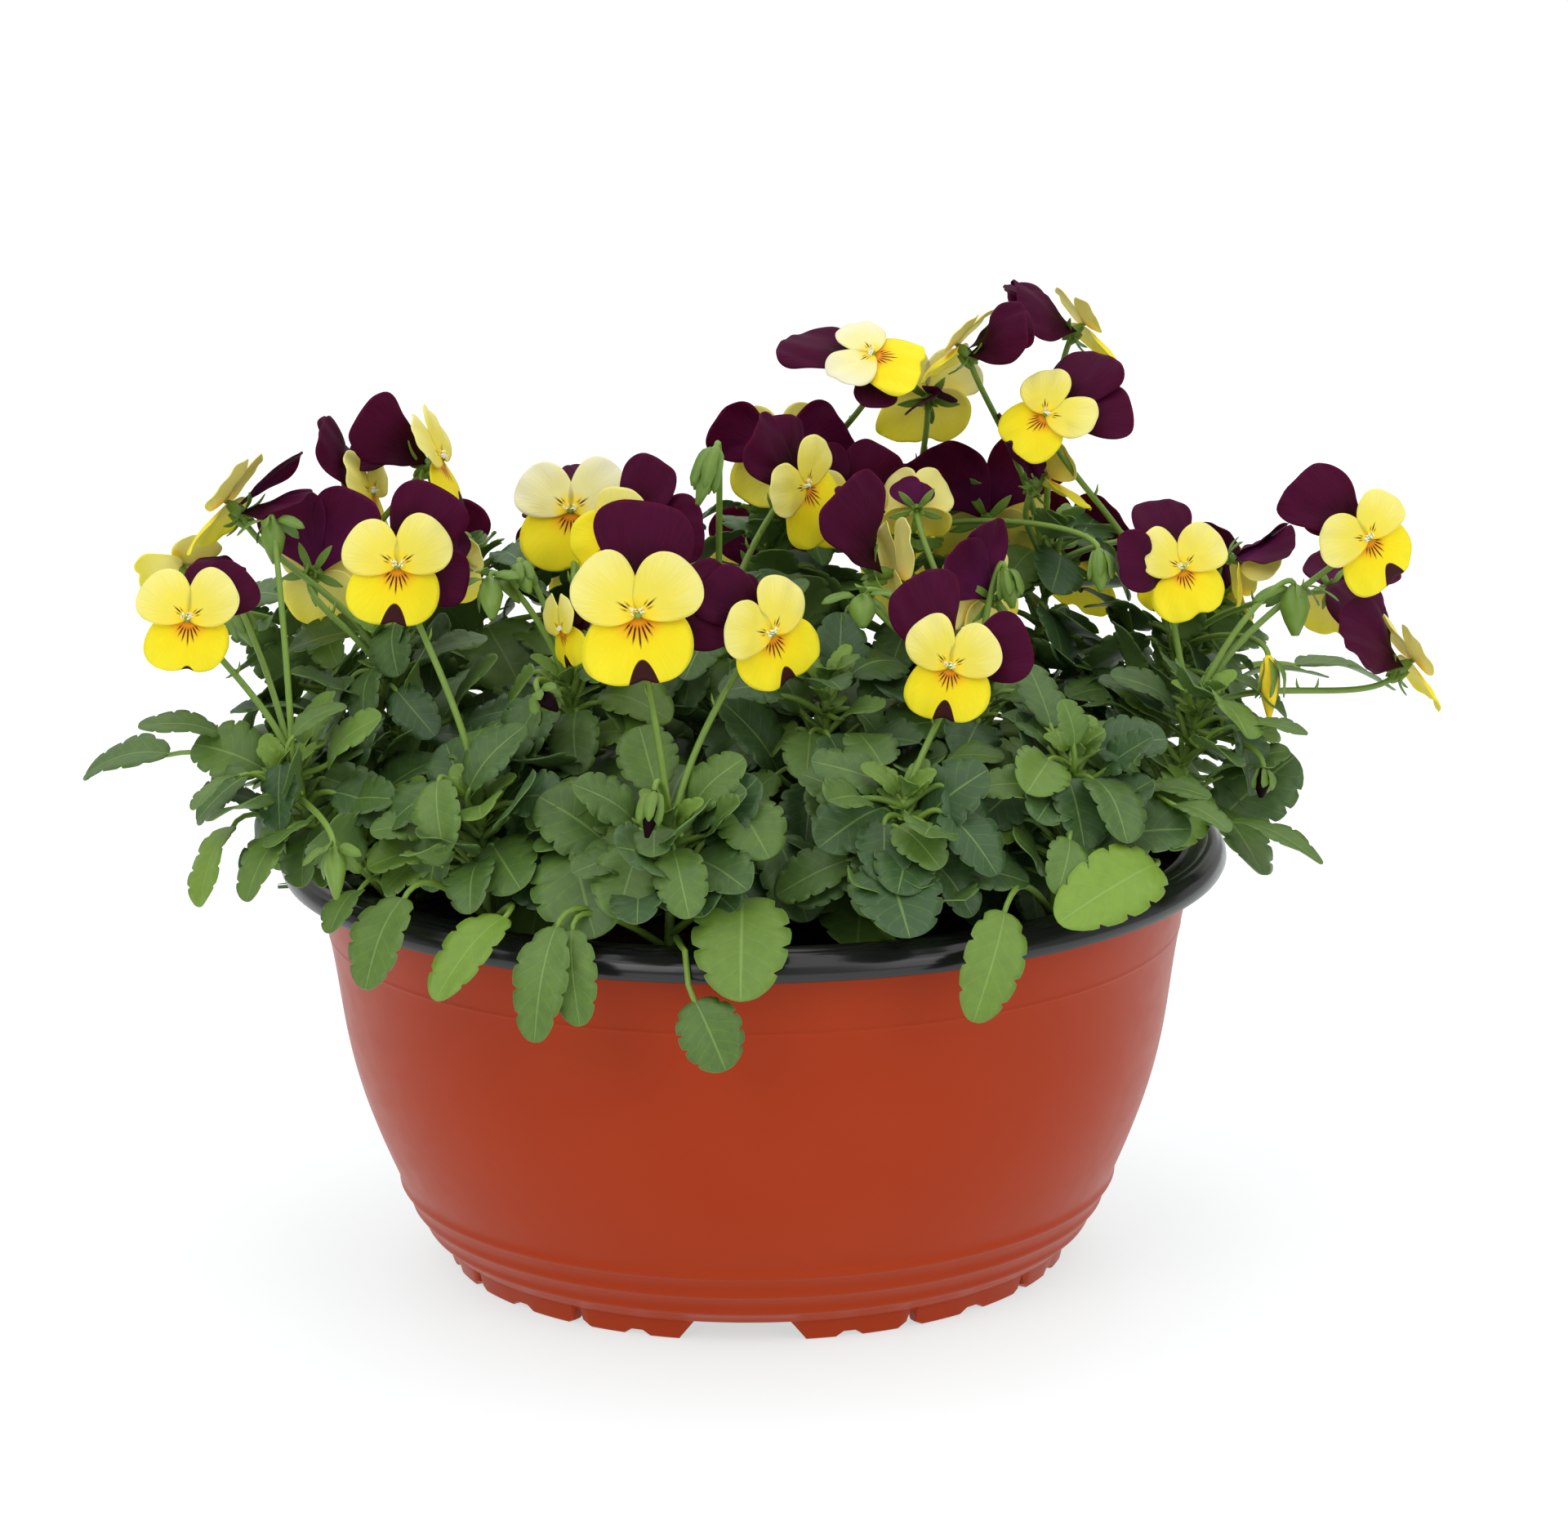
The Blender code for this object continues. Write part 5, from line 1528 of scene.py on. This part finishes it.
                # Its petiole rises from the place on the stem that is nearest to 14 mm below the blade.
                shares = np.linspace(0.2, 0.95, 9)
                misses = [abs(self.at(share)[2] - base[2] + 14) for share in shares]
                start = self.at(shares[int(np.argmin(misses))])
                self.add_leaf(start, Leaf(np.array(base, float), np.array(tip, float), width, shade))
        self.add_fill()
        self.add_crown()
        for spot in BUD_SPOTS:
            if spot.shoot == self.number:
                self.add_bud(spot)
        stems = self.green.finish(f"{self.node}_stems", [palette.stem, palette.upper, palette.lateral])
        place(stems, "leaf_green", self.node)
        blades = self.blades.finish(f"{self.node}_leaves", [palette.leaf])
        place(blades, "leaf_green", self.node)


# ---------------------------------------------------------------- the studio


@dataclass
class Studio:
    """A pale floor, soft light from large panels, and the camera."""

    camera_place: tuple = (0.0, -1.5, 0.5033)
    pitch: float = -13.484
    yaw: float = 0.339
    roll: float = 0.559
    lens: float = 124.07
    # Each soft panel's name, place in metres, width in metres and power in watts.
    lamps: tuple = (
        ("key", (-1.2, -1.9, 1.6), 1.4, 14.0),
        ("fill", (1.5, -1.5, 1.1), 1.4, 9.0),
        ("roof", (0.0, 1.2, 3.2), 9.0, 235.0),
    )
    floor_half: float = 12.0
    floor_glow: float = 0.61
    surround: float = 0.45

    def camera(self) -> None:
        """Set up a long lens in front of the bowl, looking slightly down."""
        pitch, yaw, roll = (math.radians(a) for a in (self.pitch, self.yaw, self.roll))
        ahead = Vector((math.sin(yaw) * math.cos(pitch), math.cos(yaw) * math.cos(pitch), math.sin(pitch)))
        level = Vector((math.cos(yaw), -math.sin(yaw), 0))
        above = level.cross(ahead)
        right = level * math.cos(roll) - above * math.sin(roll)
        up = above * math.cos(roll) + level * math.sin(roll)
        data = bpy.data.cameras.new("camera")
        data.lens = self.lens
        data.sensor_width = 36.0
        data.clip_end = 50.0
        camera = bpy.data.objects.new("camera", data)
        camera.matrix_world = Matrix.Translation(self.camera_place) @ Matrix(
            (right, up, -ahead)
        ).transposed().to_4x4()
        bpy.context.scene.collection.objects.link(camera)
        bpy.context.scene.camera = camera

    def floor(self) -> None:
        """Lay a wide pale floor."""
        mesh = bpy.data.meshes.new("floor")
        half = self.floor_half
        corners = [(x * half, y * half, 0) for x, y in ((-1, -1), (1, -1), (1, 1), (-1, 1))]
        mesh.from_pydata(corners, [], [(0, 1, 2, 3)])
        # A white acrylic table lit from below by cool tubes keeps the ground white right up to the feet.
        made, tree, shader = new_material("white acrylic, backlit", Roughness=0.55, Specular_IOR_Level=0.2)
        shader.inputs["Emission Color"].default_value = linear("#ECFFFF")
        shader.inputs["Emission Strength"].default_value = self.floor_glow
        grain = add_node(tree, "ShaderNodeTexNoise", {"Scale": 8.0})
        tree.links.new(blend(tree, grain, "#B9B0B0", "#BEB5B5"), shader.inputs["Base Color"])
        mesh.materials.append(made)
        floor = bpy.data.objects.new("floor", mesh)
        bpy.context.scene.collection.objects.link(floor)

    def light(self) -> None:
        """Hang the soft panels and set a white surround."""
        for name, place_at, size, power in self.lamps:
            data = bpy.data.lights.new(name, "AREA")
            data.shape = "SQUARE"
            data.size = size
            data.energy = power
            lamp = bpy.data.objects.new(name, data)
            lamp.location = place_at
            aim = Vector((lamp.location.x, lamp.location.y, 0)) if name == "roof" else Vector((0, 0, 0.15))
            lamp.rotation_euler = (aim - lamp.location).to_track_quat("-Z", "Y").to_euler()
            bpy.context.scene.collection.objects.link(lamp)
        world = bpy.data.worlds.new("studio")
        world.use_nodes = True
        background = world.node_tree.nodes["Background"]
        background.inputs["Color"].default_value = (1, 1, 1, 1)
        background.inputs["Strength"].default_value = self.surround
        bpy.context.scene.world = world
        bpy.context.scene.view_settings.view_transform = "Standard"

    def build(self) -> None:
        """Set up the studio."""
        self.camera()
        self.floor()
        self.light()


# Stalks leave their shoot this share of the way up it.
STALK_SHARE = 0.8


def stalk_foot(spot: Spot, shoots: list[Shoot]) -> np.ndarray:
    """Where a bloom's stalk leaves the nearest shoot.

    Args:
        spot: The bloom's place.
        shoots: All shoots.

    Returns:
        The foot of the stalk.
    """
    feet = [shoot.at(STALK_SHARE) for shoot in shoots]
    return min(feet, key=lambda foot: math.hypot(foot[0] - spot.throat[0], foot[1] - spot.throat[1]))


def main() -> None:
    """Build the planter and its studio in order."""
    logging.basicConfig(level=logging.INFO, format="%(message)s")
    studio = Studio()
    studio.build()
    palette = Palette()
    bowl = Bowl()
    bowl.build(palette)
    soil = Soil()
    soil.build(palette, bowl)
    shoots = [Shoot(i, base, tip, soil) for i, (base, tip) in enumerate(SHOOT_PLACES, 1)]
    for shoot in shoots:
        shoot.build(palette)
    for number, spot in enumerate(SPOTS, 1):
        Bloom(number, spot, stalk_foot(spot, shoots)).build(palette)


if __name__ == "__main__":
    main()
